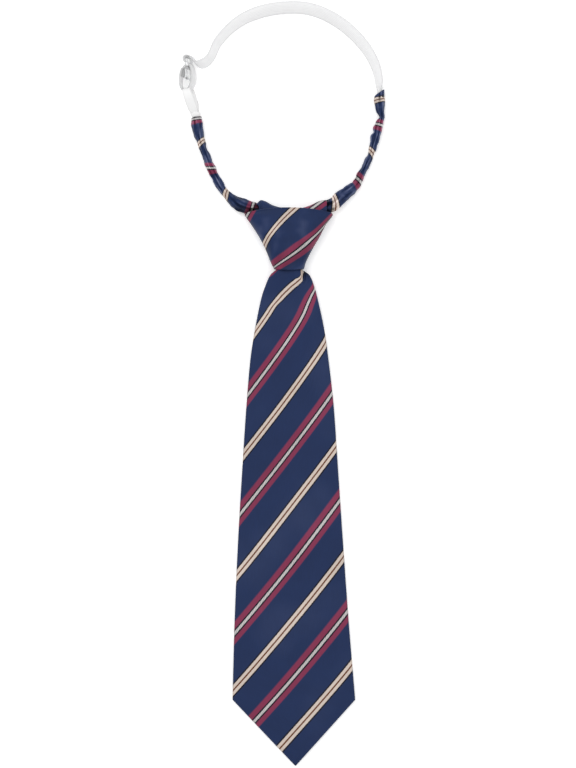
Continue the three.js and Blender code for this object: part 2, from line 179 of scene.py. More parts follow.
class StripeRow(NamedTuple):
    """Which stripe crosses the blade's middle line at a height, and how far apart stripes lie
    across the blade on its left and on its right."""

    y: float
    index: float
    left: float
    right: float


def table(kind: type[NamedTuple], *rows: Sequence[float]) -> tuple[NamedTuple, ...]:
    """Rows of one kind, from plain numbers."""
    return tuple(kind(*row) for row in rows)


class Spline:
    """A smooth curve through rows of numbers, read at any share of a row.

    Args:
        rows: Rows of one NamedTuple type.
    """

    def __init__(self, rows: Sequence[NamedTuple]) -> None:
        """Keeps the rows as an array."""
        self.names = rows[0]._fields
        self.values = np.array(rows, dtype=float)

    def at(self, where: np.ndarray) -> dict[str, np.ndarray]:
        """Reads every column.

        Args:
            where: Row numbers, whole or in between.

        Returns:
            A column of values for each name.
        """
        last = len(self.values) - 1
        where = np.clip(np.asarray(where, dtype=float), 0, last)
        start = np.minimum(where.astype(int), last - 1)
        t = (where - start)[:, None]
        before, here = self.values[np.maximum(start - 1, 0)], self.values[start]
        ahead, after = self.values[start + 1], self.values[np.minimum(start + 2, last)]
        slope_in, slope_out = (ahead - before) / 2, (after - here) / 2
        result = (
            here + slope_in * t
            + (3 * (ahead - here) - 2 * slope_in - slope_out) * t ** 2
            + (2 * (here - ahead) + slope_in + slope_out) * t ** 3
        )
        return {name: result[:, i] for i, name in enumerate(self.names)}

    def spaced(self, step: float, along: Sequence[str]) -> dict[str, np.ndarray]:
        """Reads every column at even steps of length.

        Args:
            step: Length of a step.
            along: Names of the columns that give the place.

        Returns:
            A column of values for each name.
        """
        fine = np.linspace(0, len(self.values) - 1, 40 * len(self.values))
        place = np.stack([self.at(fine)[name] for name in along], axis=1)
        run = np.concatenate([[0], np.cumsum(np.linalg.norm(np.diff(place, axis=0), axis=1))])
        count = max(int(round(run[-1] / step)), 2) + 1
        return self.at(np.interp(np.linspace(0, run[-1], count), run, fine))


def smooth_read(x: np.ndarray, known_x: Sequence[float], known_y: Sequence[float]) -> np.ndarray:
    """Reads a smooth curve through known points.

    Args:
        x: Where to read it.
        known_x: Rising places of the points.
        known_y: Values of the points.

    Returns:
        The values at x.
    """
    xs, ys = np.asarray(known_x, float), np.asarray(known_y, float)
    slopes = np.gradient(ys, xs)
    x = np.clip(x, xs[0], xs[-1])
    i = np.clip(np.searchsorted(xs, x) - 1, 0, len(xs) - 2)
    h = xs[i + 1] - xs[i]
    t = (x - xs[i]) / h
    return (
        ys[i] * (2 * t ** 3 - 3 * t ** 2 + 1) + slopes[i] * h * (t ** 3 - 2 * t ** 2 + t)
        + ys[i + 1] * (3 * t ** 2 - 2 * t ** 3) + slopes[i + 1] * h * (t ** 3 - t ** 2)
    )


def ripple(points: np.ndarray, size: float, seed: float) -> np.ndarray:
    """Soft unevenness of cloth.

    Args:
        points: Places in millimetres, the last axis being x, y, z.
        size: Width of one swell.
        seed: Moves the pattern, so that pieces differ.

    Returns:
        A value from about -1 to 1 for each place.
    """
    flat = points.reshape(-1, 3) / size + seed
    return np.array([noise.noise(Vector(place)) for place in flat]).reshape(points.shape[:-1])


def swelling(points: np.ndarray, *layers: tuple[float, float, float]) -> np.ndarray:
    """Height of several ripples together.

    Args:
        points: Places in millimetres, the last axis being x, y, z.
        layers: Size, seed and height of each ripple.

    Returns:
        The height at each place.
    """
    return sum(height * ripple(points, size, seed) for size, seed, height in layers)


def add_object(name: str, data: bpy.types.ID) -> Piece:
    """Makes an object from its data and links it to the scene."""
    made = bpy.data.objects.new(name, data)
    bpy.context.collection.objects.link(made)
    return made


def smooth(mesh: bpy.types.Mesh) -> None:
    """Shades every face smooth."""
    mesh.polygons.foreach_set("use_smooth", [True] * len(mesh.polygons))


def plain_mesh(drawn: Piece) -> bpy.types.Mesh:
    """Turns what an object shows into a plain smooth mesh, and removes the object.

    Args:
        drawn: A curve, or a guide with its modifier.

    Returns:
        The mesh.
    """
    bpy.context.view_layer.update()
    graph = bpy.context.evaluated_depsgraph_get()
    mesh = bpy.data.meshes.new_from_object(drawn.evaluated_get(graph))
    bpy.data.objects.remove(drawn)
    smooth(mesh)
    return mesh


def face_outwards(piece: Piece, merge: float = 0.0) -> None:
    """Points every face of a closed piece outwards.

    Args:
        piece: The piece.
        merge: Points nearer to each other than this, in millimetres, become one.
    """
    shape = bmesh.new()
    shape.from_mesh(piece.data)
    if merge:
        bmesh.ops.remove_doubles(shape, verts=shape.verts, dist=merge * MM)
    bmesh.ops.recalc_face_normals(shape, faces=shape.faces)
    shape.to_mesh(piece.data)
    shape.free()


@dataclass
class ClothGrid:
    """A surface in rows and columns. Seen from outside, the rows run down and the columns
    to the right.

    Attributes:
        points: Places in millimetres, rows by columns by 3.
        stripe: Which stripe each place is on, rows by columns.
        weave: Place on the flat cloth in millimetres, rows by columns by 2.
        shade: How far painted shade darkens each place, where folds, hollows and hidden parts would
            lie in shade, up to 1; below 0 it is a painted highlight. On straps it darkens their
            edges.
        closed: Whether the last column meets the first.
        flipped: Whether the rows run up instead, or the columns to the left.
    """

    points: np.ndarray
    stripe: np.ndarray
    weave: np.ndarray
    shade: np.ndarray
    closed: bool = False
    flipped: bool = False

    def build(self, name: str, thickness: float = 0.0, capped: bool = False) -> Piece:
        """Makes the surface a mesh object in the scene.

        Args:
            name: Name of the piece.
            thickness: Of the cloth, inwards from the surface, or 0 for a closed surface.
            capped: Whether the first and last rows are filled.

        Returns:
            The object.
        """
        rows, columns = self.points.shape[:2]
        index = np.arange(rows * columns).reshape(rows, columns)
        right = np.roll(index, -1, axis=1)
        if not self.closed:
            index, right = index[:, :-1], right[:, :-1]
        corners = (index[:-1], index[1:], right[1:], right[:-1])
        faces = np.stack(corners, axis=-1).reshape(-1, 4).tolist()
        if capped:
            faces.append(list(range(columns)))
            faces.append(list(range(rows * columns - 1, (rows - 1) * columns - 1, -1)))
        if self.flipped:
            faces = [face[::-1] for face in faces]
        mesh = bpy.data.meshes.new(name)
        mesh.from_pydata((self.points.reshape(-1, 3) * MM).tolist(), [], faces)
        for field_name, values in (("stripe", self.stripe), ("shade", self.shade)):
            layer = mesh.attributes.new(field_name, "FLOAT", "POINT")
            layer.data.foreach_set("value", values.astype(np.float32).ravel())
        corner_vertex = np.zeros(len(mesh.loops), dtype=np.int32)
        mesh.loops.foreach_get("vertex_index", corner_vertex)
        weave = mesh.uv_layers.new(name="weave")
        flat = self.weave.reshape(-1, 2)[corner_vertex].astype(np.float32)
        weave.data.foreach_set("uv", flat.ravel())
        smooth(mesh)
        mesh.validate()
        piece = add_object(name, mesh)
        if thickness:
            modifier = piece.modifiers.new("thickness", "SOLIDIFY")
            modifier.thickness = thickness * MM
            modifier.offset = -1
            modifier.use_even_offset = False
            modifier.use_rim = True
        return piece


def lengths(points: np.ndarray, axis: int) -> np.ndarray:
    """Length run along an axis of a grid of points, from its first row or column.

    Args:
        points: Rows by columns by 3.
        axis: 0 down the rows, 1 along the columns.

    Returns:
        Rows by columns of lengths.
    """
    steps = np.linalg.norm(np.diff(points, axis=axis), axis=-1)
    start = np.zeros_like(np.take(steps, [0], axis=axis))
    return np.concatenate([start, np.cumsum(steps, axis=axis)], axis=axis)


def half_area(piece: Piece) -> float:
    """Area of one side of a closed thin piece.

    Args:
        piece: The piece.

    Returns:
        The area in square metres.
    """
    evaluated = piece.evaluated_get(bpy.context.evaluated_depsgraph_get())
    mesh = evaluated.to_mesh()
    area = sum(face.area for face in mesh.polygons) / 2
    evaluated.to_mesh_clear()
    return area


class Nodes:
    """Builds one material's nodes.

    Args:
        name: Name of the material.
    """

    def __init__(self, name: str) -> None:
        """Starts the material with its surface shader."""
        self.material = bpy.data.materials.new(name)
        self.material.use_nodes = True
        self.tree = self.material.node_tree
        self.shader = self.tree.nodes["Principled BSDF"]

    def add(self, kind: str, settings: dict | None = None, **inputs: object) -> bpy.types.Node:
        """Adds a node.

        Args:
            kind: Type of the node, without its ShaderNode start.
            settings: Properties of the node.
            inputs: Values or sockets for its inputs, by name, with _ for a space.

        Returns:
            The node.
        """
        node = self.tree.nodes.new("ShaderNode" + kind)
        for key, value in (settings or {}).items():
            setattr(node, key, value)
        for key, value in inputs.items():
            self.put(node.inputs[key.replace("_", " ")], value)
        return node

    def put(self, socket: Socket, value: object) -> None:
        """Sets a socket to a value, or links it to another socket."""
        if isinstance(value, Socket):
            self.tree.links.new(value, socket)
        else:
            socket.default_value = value

    def math(self, operation: str, *values: object) -> Socket:
        """Result of a Math node on values or sockets."""
        node = self.add("Math", {"operation": operation})
        for socket, value in zip(node.inputs, values):
            self.put(socket, value)
        return node.outputs[0]

    def attribute(self, name: str) -> Socket:
        """The surface's own numbers of that name."""
        return self.add("Attribute", {"attribute_name": name}).outputs["Fac"]

    def weave(self, turn: float = 0.0, scale: Sequence[float] = (1, 1, 1)) -> Socket:
        """Place on the flat cloth in millimetres.

        Args:
            turn: Turn of the pattern in degrees.
            scale: Stretch along each axis.

        Returns:
            The place.
        """
        flat = self.add("UVMap", {"uv_map": "weave"}).outputs["UV"]
        rotation = (0, 0, math.radians(turn))
        return self.add("Mapping", Vector=flat, Scale=scale, Rotation=rotation).outputs["Vector"]

    def object_place(self) -> Socket:
        """Place in the object's own frame, in metres."""
        return self.add("TexCoord").outputs["Object"]

    def ribs(self, place: Socket, period: float, uneven: float) -> Socket:
        """Even ribs across the X of a place.

        Args:
            place: The place in millimetres.
            period: Width of one rib in millimetres.
            uneven: How far the ribs wander.

        Returns:
            The height, 0 to 1.
        """
        wave = self.add(
            "TexWave", {"wave_type": "BANDS"}, Vector=place, Scale=WAVE_UNIT / period,
            Distortion=uneven, Detail_Scale=1.5,
        )
        return wave.outputs["Fac"]

    def noise(self, place: Socket, size: float, detail: float) -> Socket:
        """Soft noise, 0 to 1, with swells about as wide as size in millimetres."""
        node = self.add("TexNoise", Vector=place, Scale=1 / size, Detail=detail)
        return node.outputs["Fac"]

    def shaded(self, colour: object, factor: object) -> Socket:
        """An 8-bit colour or a colour socket, times a grey factor, which may be above 1."""
        if isinstance(colour, tuple):
            colour = linear(*colour)
        grey = self.add("CombineColor", Red=factor, Green=factor, Blue=factor).outputs[0]
        return self.mixed(1.0, colour, grey, "MULTIPLY")

    def mixed(
        self, share: object, first: object, second: object, blend: str = "MIX",
    ) -> Socket:
        """A colour blended from two others, by the share of the second."""
        settings = {"data_type": "RGBA", "blend_type": blend}
        return self.add("Mix", settings, Factor=share, A=first, B=second).outputs["Result"]

    def bump(self, height: Socket, depth: float, strength: float) -> None:
        """Roughens the surface.

        Args:
            height: Height, 0 to 1.
            depth: Millimetres from 0 to 1.
            strength: How much of it shows.
        """
        bump = self.add("Bump", Height=height, Distance=depth * MM, Strength=strength)
        self.tree.links.new(bump.outputs["Normal"], self.shader.inputs["Normal"])

    def finish(self, **values: object) -> Material:
        """Sets the shader's own sockets by name, with _ for a space, and gives the material."""
        for key, value in values.items():
            self.put(self.shader.inputs[key.replace("_", " ")], value)
        return self.material


@dataclass(frozen=True)
class StripedCloth:
    """Navy satin twill with its woven stripes.

    Attributes:
        brown_reach: How far the brown line reaches from the middle of a cream set, in
            millimetres. The other reaches are measured out from a set's middle too.
        mingled_width: Width of the edge where burgundy and navy threads mingle.
        stray: How far the threads at a stripe's edge stray, as a share of a millimetre.
        twill_period: Width of one rib of the twill, in millimetres.
        twill_turn: Direction of the twill, in degrees.
        cord_period: Width of one cord of the white stripe, in millimetres.
        cord_turn: Direction of the cords, in degrees.
        cord_dark: How dark the gaps between the cords are.
        painted_fold_shade: How far painted shade darkens the colour where the shade attribute is 1.
        painted_sheen_share: How far a painted sheen highlight goes to the ridge colour, where the
            shade attribute is below 0.
    """

    navy: Colour = (26, 43, 81)
    burgundy: Colour = (126, 47, 76)
    cream: Colour = (203, 188, 177)
    brown: Colour = (100, 56, 30)
    white: Colour = (204, 200, 199)
    outline: Colour = (14, 15, 32)
    brown_reach: float = 0.38
    cream_reach: float = 2.1
    cream_line_reach: float = 2.85
    white_reach: float = 0.78
    white_line_reach: float = 1.6
    burgundy_reach: float = 4.75
    burgundy_low_reach: float = 4.35
    mingled: Colour = (78, 45, 79)
    mingled_width: float = 0.4
    twill_period: float = 0.42
    twill_turn: float = 62.0
    cord_period: float = 0.95
    cord_turn: float = -18.0
    cord_dark: float = 0.4
    stray: float = 0.5
    painted_fold_shade: float = 0.8
    painted_ridge_sheen: Colour = (150, 152, 170)
    painted_sheen_share: float = 0.28

    def material(self) -> Material:
        """Makes the cloth's material.

        Returns:
            The material.
        """
        nodes = Nodes("striped_cloth")
        place = nodes.weave()
        jitter = nodes.noise(nodes.weave(self.twill_turn), 0.3, 1.0)
        jitter = nodes.math("MULTIPLY", nodes.math("SUBTRACT", jitter, 0.5), self.stray * N_PER_MM)
        index = nodes.math("ADD", nodes.attribute("stripe"), jitter)
        turn = nodes.math("FLOORED_MODULO", nodes.math("ADD", index, 0.5), 2.0)
        share = nodes.math("MULTIPLY", turn, 0.5)
        colour = self.ramp(nodes, share)
        cord = nodes.ribs(nodes.weave(self.cord_turn), self.cord_period, 0.6)
        in_white = nodes.math("COMPARE", share, WHITE_MIDDLE, self.white_reach * N_PER_MM / 2)
        cord_gap = nodes.math("MULTIPLY", nodes.math("MULTIPLY", cord, in_white),
                              self.cord_dark)
        slub = nodes.noise(nodes.weave(self.twill_turn, (1, 0.12, 1)), 0.7, 2.0)
        cloudy = nodes.noise(place, 14.0, 2.0)
        tone = nodes.math("MULTIPLY_ADD", slub, 0.24, 0.78)
        tone = nodes.math("ADD", tone, nodes.math("MULTIPLY", cloudy, 0.2))
        tone = nodes.math("SUBTRACT", tone, cord_gap)
        # Painted shade: where the shade attribute is above 0 it darkens the colour
        shade = nodes.attribute("shade")
        fold = nodes.math("MULTIPLY", shade, self.painted_fold_shade)
        tone = nodes.math("MULTIPLY", tone, nodes.math("SUBTRACT", 1.0, fold))
        # Painted highlight: where the shade attribute is below 0 the colour goes towards the light
        # ridge colour, a painted sheen
        glow = nodes.math("MAXIMUM", nodes.math("MULTIPLY", shade, -self.painted_sheen_share), 0.0)
        colour = nodes.mixed(glow, colour, linear(*self.painted_ridge_sheen))
        twill = nodes.ribs(nodes.weave(self.twill_turn), self.twill_period, 0.4)
        weft = nodes.ribs(nodes.weave(self.twill_turn - 90), self.twill_period * 1.6, 0.8)
        height = nodes.math("MULTIPLY_ADD", twill, 0.7, nodes.math("MULTIPLY", weft, 0.3))
        height = nodes.math("ADD", height, cord_gap)
        nodes.bump(height, 0.06, 0.55)
        roughness = nodes.math("MULTIPLY_ADD", slub, 0.12, 0.46)
        return nodes.finish(
            Base_Color=nodes.shaded(colour, tone), Roughness=roughness, Specular_IOR_Level=0.16,
            Sheen_Weight=0.04, Sheen_Roughness=0.4,
        )

    def ramp(self, nodes: Nodes, share: Socket) -> Socket:
        """Colour of one cream set, in the ramp's first half, and one white set.

        Args:
            nodes: The material's nodes.
            share: Place across the two sets, 0 to 1.

        Returns:
            The colour.
        """
        from_cream = (
            (-self.cream_line_reach, self.outline), (-self.cream_reach, self.cream),
            (-self.brown_reach, self.brown), (self.brown_reach, self.cream),
            (self.cream_reach, self.outline), (self.cream_line_reach, self.navy),
        )
        from_white = (
            (-self.burgundy_reach, self.mingled),
            (self.mingled_width - self.burgundy_reach, self.burgundy),
            (-self.white_line_reach, self.outline), (-self.white_reach, self.white),
            (self.white_reach, self.outline), (self.white_line_reach, self.burgundy),
            (self.burgundy_low_reach - self.mingled_width, self.mingled),
            (self.burgundy_low_reach, self.navy),
        )
        ramp = nodes.add("ValToRGB", Fac=share)
        ramp.color_ramp.interpolation = "CONSTANT"
        elements = ramp.color_ramp.elements
        elements.remove(elements[1])
        elements[0].color = linear(*self.navy)
        for middle, stops in ((CREAM_MIDDLE, from_cream), (WHITE_MIDDLE, from_white)):
            for reach, colour in stops:
                elements.new(middle + reach * N_PER_MM / 2).color = linear(*colour)
        return ramp.outputs["Color"]


@dataclass(frozen=True)
class Lining:
    """Plain matt navy cloth on the inside of the blade's point."""

    colour: Colour = (34, 42, 66)
    thread_period: float = 0.5

    def material(self) -> Material:
        """Makes the lining's material."""
        nodes = Nodes("navy_lining")
        warp = nodes.ribs(nodes.weave(), self.thread_period, 0.5)
        weft = nodes.ribs(nodes.weave(90), self.thread_period, 0.5)
        cloudy = nodes.noise(nodes.weave(), 3.0, 3.0)
        tone = nodes.math("MULTIPLY_ADD", cloudy, 0.3, 0.85)
        nodes.bump(nodes.math("MULTIPLY", warp, weft), 0.08, 0.6)
        return nodes.finish(
            Base_Color=nodes.shaded(self.colour, tone), Roughness=0.75,
            Specular_IOR_Level=0.2,
        )


@dataclass(frozen=True)
class WovenElastic:
    """White braided elastic: fine ribs along it, a zigzag of rubber across, and darker edges."""

    colour: Colour = (227, 227, 228)
    rib_period: float = 0.82
    pick_period: float = 0.62
    pick_turn: float = 52.0
    edge_dark: float = 0.2
    glow_depth: float = 4.0

    def material(self) -> Material:
        """Makes the elastic's material."""
        nodes = Nodes("white_elastic")
        ribs = nodes.ribs(nodes.weave(), self.rib_period, 0.3)
        slant = nodes.ribs(nodes.weave(self.pick_turn), self.pick_period, 0.3)
        counter = nodes.ribs(nodes.weave(-self.pick_turn), self.pick_period, 0.3)
        picks = nodes.math("MULTIPLY", slant, counter)
        height = nodes.math("MULTIPLY_ADD", ribs, 0.6, nodes.math("MULTIPLY", picks, 0.4))
        cloudy = nodes.noise(nodes.weave(0, (1, 0.3, 1)), 2.2, 3.0)
        tone = nodes.math("MULTIPLY_ADD", height, 0.15, 0.88)
        tone = nodes.math("ADD", tone, nodes.math("MULTIPLY", cloudy, 0.03))
        edge = nodes.math("MULTIPLY", nodes.attribute("shade"), self.edge_dark)
        tone = nodes.math("SUBTRACT", tone, edge)
        nodes.bump(height, 0.14, 0.7)
        return nodes.finish(
            Base_Color=nodes.shaded(self.colour, tone), Roughness=0.6,
            Specular_IOR_Level=0.3, Sheen_Weight=0.1, Subsurface_Weight=0.7,
            Subsurface_Radius=(1, 1, 1), Subsurface_Scale=self.glow_depth * MM,
        )


@dataclass(frozen=True)
class SatinRibbon:
    """Smooth white ribbon with a fine cross rib and a bound edge."""

    colour: Colour = (242, 242, 242)
    rib_period: float = 0.45

    def material(self) -> Material:
        """Makes the ribbon's material."""
        nodes = Nodes("white_ribbon")
        ribs = nodes.ribs(nodes.weave(90), self.rib_period, 0.3)
        cloudy = nodes.noise(nodes.weave(0, (1, 0.2, 1)), 1.6, 2.0)
        tone = nodes.math("MULTIPLY_ADD", cloudy, 0.04, 0.95)
        tone = nodes.math("ADD", tone, nodes.math("MULTIPLY", ribs, 0.02))
        tone = nodes.math("SUBTRACT", tone, nodes.math("MULTIPLY", nodes.attribute("shade"), 0.1))
        nodes.bump(ribs, 0.06, 0.5)
        return nodes.finish(
            Base_Color=nodes.shaded(self.colour, tone), Roughness=0.42,
            Specular_IOR_Level=0.45, Sheen_Weight=0.05,
        )


@dataclass(frozen=True)
class ClearPlastic:
    """Clear moulded nylon, glossy, with a faint flow haze. bending is its index of refraction."""

    colour: Colour = (250, 251, 252)
    clearness: float = 0.78
    bending: float = 1.4
    haze_size: float = 2.5

    def material(self) -> Material:
        """Makes the plastic's material."""
        nodes = Nodes("clear_plastic")
        haze = nodes.noise(nodes.object_place(), self.haze_size * MM, 2.0)
        nodes.bump(haze, 0.05, 0.3)
        roughness = nodes.math("MULTIPLY_ADD", haze, 0.1, 0.06)
        return nodes.finish(
            Base_Color=linear(*self.colour), Roughness=roughness,
            Transmission_Weight=self.clearness, IOR=self.bending,
        )


@dataclass(frozen=True)
class Thread:
    """Sewing thread with its twist."""

    name: str
    colour: Colour
    twist_period: float = 0.5

    def material(self) -> Material:
        """Makes the thread's material."""
        nodes = Nodes(self.name)
        twist = nodes.ribs(nodes.object_place(), self.twist_period * MM, 0.0)
        nodes.bump(twist, 0.05, 0.5)
        tone = nodes.math("MULTIPLY_ADD", twist, 0.25, 0.85)
        return nodes.finish(
            Base_Color=nodes.shaded(self.colour, tone), Roughness=0.5,
            Specular_IOR_Level=0.35,
        )


@dataclass(frozen=True)
class PaperFloor:
    """Matt white backdrop paper."""

    colour: Colour = (252, 252, 252)
    grain_size: float = 40.0
    glow: float = 0.25

    def material(self) -> Material:
        """Makes the floor's material."""
        nodes = Nodes("backdrop_paper")
        grain = nodes.noise(nodes.object_place(), self.grain_size * MM, 3.0)
        tone = nodes.math("MULTIPLY_ADD", grain, 0.01, 0.99)
        return nodes.finish(
            Base_Color=nodes.shaded(self.colour, tone), Roughness=0.9,
            Specular_IOR_Level=0.1, Emission_Color=(1, 1, 1, 1), Emission_Strength=self.glow,
        )


@dataclass
class Finishes:
    """Every finish of the tie, made once."""

    cloth: Material
    lining: Material
    elastic: Material
    ribbon: Material
    plastic: Material
    navy_thread: Material
    white_thread: Material

    @classmethod
    def make(cls) -> "Finishes":
        """Makes the materials."""
        return cls(
            cloth=StripedCloth().material(),
            lining=Lining().material(),
            elastic=WovenElastic().material(),
            ribbon=SatinRibbon().material(),
            plastic=ClearPlastic().material(),
            navy_thread=Thread("navy_thread", (40, 50, 84)).material(),
            white_thread=Thread("white_thread", (244, 244, 244)).material(),
        )


def dress(piece: Piece, material: Material, node: str = "") -> None:
    """Gives a piece its finish and its place on the tie.

    Args:
        piece: The piece.
        material: Its finish.
        node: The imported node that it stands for, if any.
    """
    piece.data.materials.clear()
    piece.data.materials.append(material)
    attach(piece, BODY)
    if node:
        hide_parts(node)


def dress_folded(
    piece: Piece, finishes: Finishes, node: str,
) -> None:
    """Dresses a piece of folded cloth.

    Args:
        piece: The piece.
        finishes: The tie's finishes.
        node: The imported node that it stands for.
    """
    dress(piece, finishes.cloth, node)
    half_area(piece)


def arch(
    width: np.ndarray, depth: np.ndarray, squareness: float, dome: int, foot: int,
) -> tuple[np.ndarray, np.ndarray]:
    """Outline over a cloth form that rests flat, from its left foot over the top to its right
    foot. The feet are rounded and the underside between them is left out.

    Args:
        width: Width of each section.
        depth: Thickness of each section.
        squareness: How full the dome is; 2 is an ellipse.
        dome: Steps over the top.
        foot: Steps round one foot.

    Returns:
        How far across and how high each place is, sections by places.
    """
    half = width[:, None] / 2
    shoulder = np.minimum(0.34 * depth, 0.3 * width)[:, None]
    sine = np.sin(np.linspace(-math.pi / 2, math.pi / 2, dome + 1))[None, :]
    fullness = np.clip(1 - np.abs(sine) ** squareness, 0, 1) ** (1 / squareness)
    turn = np.linspace(0, math.pi / 2, foot + 1)[1:][None, :]
    foot_across = half - shoulder * (1 - np.cos(turn))
    foot_up = shoulder * (1 - np.sin(turn))
    across = np.concatenate([-foot_across[:, ::-1], half * sine, foot_across], axis=1)
    top = shoulder + (depth[:, None] - shoulder) * fullness
    up = np.concatenate([foot_up[:, ::-1], top, foot_up], axis=1)
    return across, up


def fade(value: np.ndarray, start: float, end: float) -> np.ndarray:
    """Smooth change from 1 at start to 0 at end."""
    t = np.clip((value - start) / (end - start), 0, 1)
    return 1 - t * t * (3 - 2 * t)


def signed_distance(places: np.ndarray, line: Sequence[tuple[float, float]]) -> np.ndarray:
    """Distance from a line of points, above 0 on the left of its direction.

    Args:
        places: Places whose last axis starts with x, y.
        line: The line's points.

    Returns:
        The distance of each place in millimetres.
    """
    nodes = np.array(line, dtype=float)
    best = np.full(places.shape[:-1], np.inf)
    result = np.zeros(places.shape[:-1])
    for start, end in zip(nodes[:-1], nodes[1:]):
        way = end - start
        long = np.linalg.norm(way)
        from_start = places[..., :2] - start
        share = np.clip(from_start @ way / long ** 2, 0, 1)
        away = np.linalg.norm(from_start - share[..., None] * way, axis=-1)
        side = way[0] * from_start[..., 1] - way[1] * from_start[..., 0]
        closer = away < best
        best = np.where(closer, away, best)
        result = np.where(closer, np.sign(side) * away, result)
    return result


def ring(
    width: np.ndarray, depth: np.ndarray, squareness: float, dome: int, foot: int, floor: int,
) -> tuple[np.ndarray, np.ndarray]:
    """Outline right round a cloth form: an arch and the level underside between its feet.

    Args:
        width: Width of each section.
        depth: Thickness of each section.
        squareness: How full the dome is.
        dome: Steps over the top.
        foot: Steps round one foot.
        floor: Steps along the underside.

    Returns:
        How far across and how high each place is, sections by places.
    """
    across, up = arch(width, depth, squareness, dome, foot)
    share = np.linspace(1, -1, floor + 1)[1:-1][None, :]
    under = across[:, -1:] * share
    return np.concatenate([across, under], axis=1), np.concatenate([up, 0 * under], axis=1)


def lip(radius: float, inside: float, steps: int = 6) -> tuple[np.ndarray, np.ndarray]:
    """Rows that turn an open edge of cloth inwards.

    Args:
        radius: Radius of the turn.
        inside: How far the cloth runs back inside.
        steps: Rows round the turn.

    Returns:
        How far past the edge, and how far in from the outside, each row is.
    """
    angle = np.linspace(0, math.pi, steps + 1)[1:]
    past = np.concatenate([radius * np.sin(angle), -inside * np.array([0.5, 1.0])])
    inset = np.concatenate([radius * (1 - np.cos(angle)), [2 * radius, 2 * radius]])
    return past, inset


def with_lips(
    size: dict[str, np.ndarray], radius: float, inside: float, both: bool = True,
) -> tuple[dict[str, np.ndarray], np.ndarray, np.ndarray]:
    """Adds the rows that turn the open edges of a cloth form inwards.

    Args:
        size: Columns of sizes, with a value for each section.
        radius: Radius of the turn.
        inside: How far the cloth runs back inside.
        both: Whether both edges are turned in, or only the last.

    Returns:
        The columns with the added rows, how far in from the outside each row is, and how far
        it lies from its section.
    """
    past, inset = lip(radius, inside)
    length, count = len(next(iter(size.values()))), len(past)
    order = np.concatenate([np.arange(length), np.full(count, length - 1)])
    inner = np.concatenate([np.zeros(length), inset])
    shift = np.concatenate([np.zeros(length), past])
    if both:
        order = np.concatenate([np.zeros(count, int), order])
        inner = np.concatenate([inset[::-1], inner])
        shift = np.concatenate([-past[::-1], shift])
    return {name: values[order] for name, values in size.items()}, inner, shift


BLADE_ROWS = table(
    BladeRow,
    (5, -6.0, 5.8, 2.6, 5.6),
    (-9, -6.0, 5.8, 2.6, 5.6),
    (-14.5, -6.0, 5.8, 2.6, 5.6),
    (-16.9, -6.9, 6.9, 2.6, 5.6),
    (-18.6, -8.9, 9.5, 2.3, 6.1),
    (-20.6, -10.9, 11.9, 1.9, 6.2),
    (-25.3, -13.1, 14.0, 1.0, 6.3),
    (-34.4, -16.1, 16.6, 0, 6.0),
    (-51.7, -19.6, 20.3, 0, 4.8),
    (-68.9, -22.2, 22.7, 0, 4.0),
    (-94.7, -24.4, 25.6, 0, 3.4),
    (-126.3, -26.5, 27.8, 0, 3.2),
    (-172.2, -29.2, 30.9, 0, 3.1),
    (-218.1, -31.2, 34.2, 0, 3.1),
    (-263.7, -32.4, 38.0, 0, 3.1),
)

BLADE_STRIPES = table(
    StripeRow,
    (-303, 8.56, 29.2, 29.2),
    (-284.7, 8, 28.7, 28.7),
    (-252.8, 7, 27.9, 27.9),
    (-220.1, 6, 27.2, 27.2),
    (-187.1, 5, 26.4, 26.4),
    (-153.3, 4, 25.6, 25.6),
    (-120.7, 3, 24.8, 24.8),
    (-88.4, 2, 23.9, 23.9),
    (-55.6, 1, 22.2, 22.2),
    (-48.2, 0.78, 21.4, 21.4),
    (-42.5, 0.62, 20.5, 20.5),
    (-36.7, 0.47, 19.2, 19.2),
    (-31.0, 0.26, 17.4, 17.4),
    (-26.7, 0, 18.2, 15.5),
    (-23.5, -0.25, 18, 13.7),
    (-20.7, -0.53, 18, 11.9),
    (-17.2, -0.8, 18, 9),
)
# Middle line of the cream stripe where it turns up into the knot, left of the crease
CREAM_LINE = ((7.3, -10.0), (7.3, -20.6), (6.5, -22.7), (4.1, -24.8), (1.5, -26.8), (-1.6, -29.7),
              (-4.2, -32.3), (-6.8, -35.4), (-9.4, -39.0), (-12.0, -43.6))


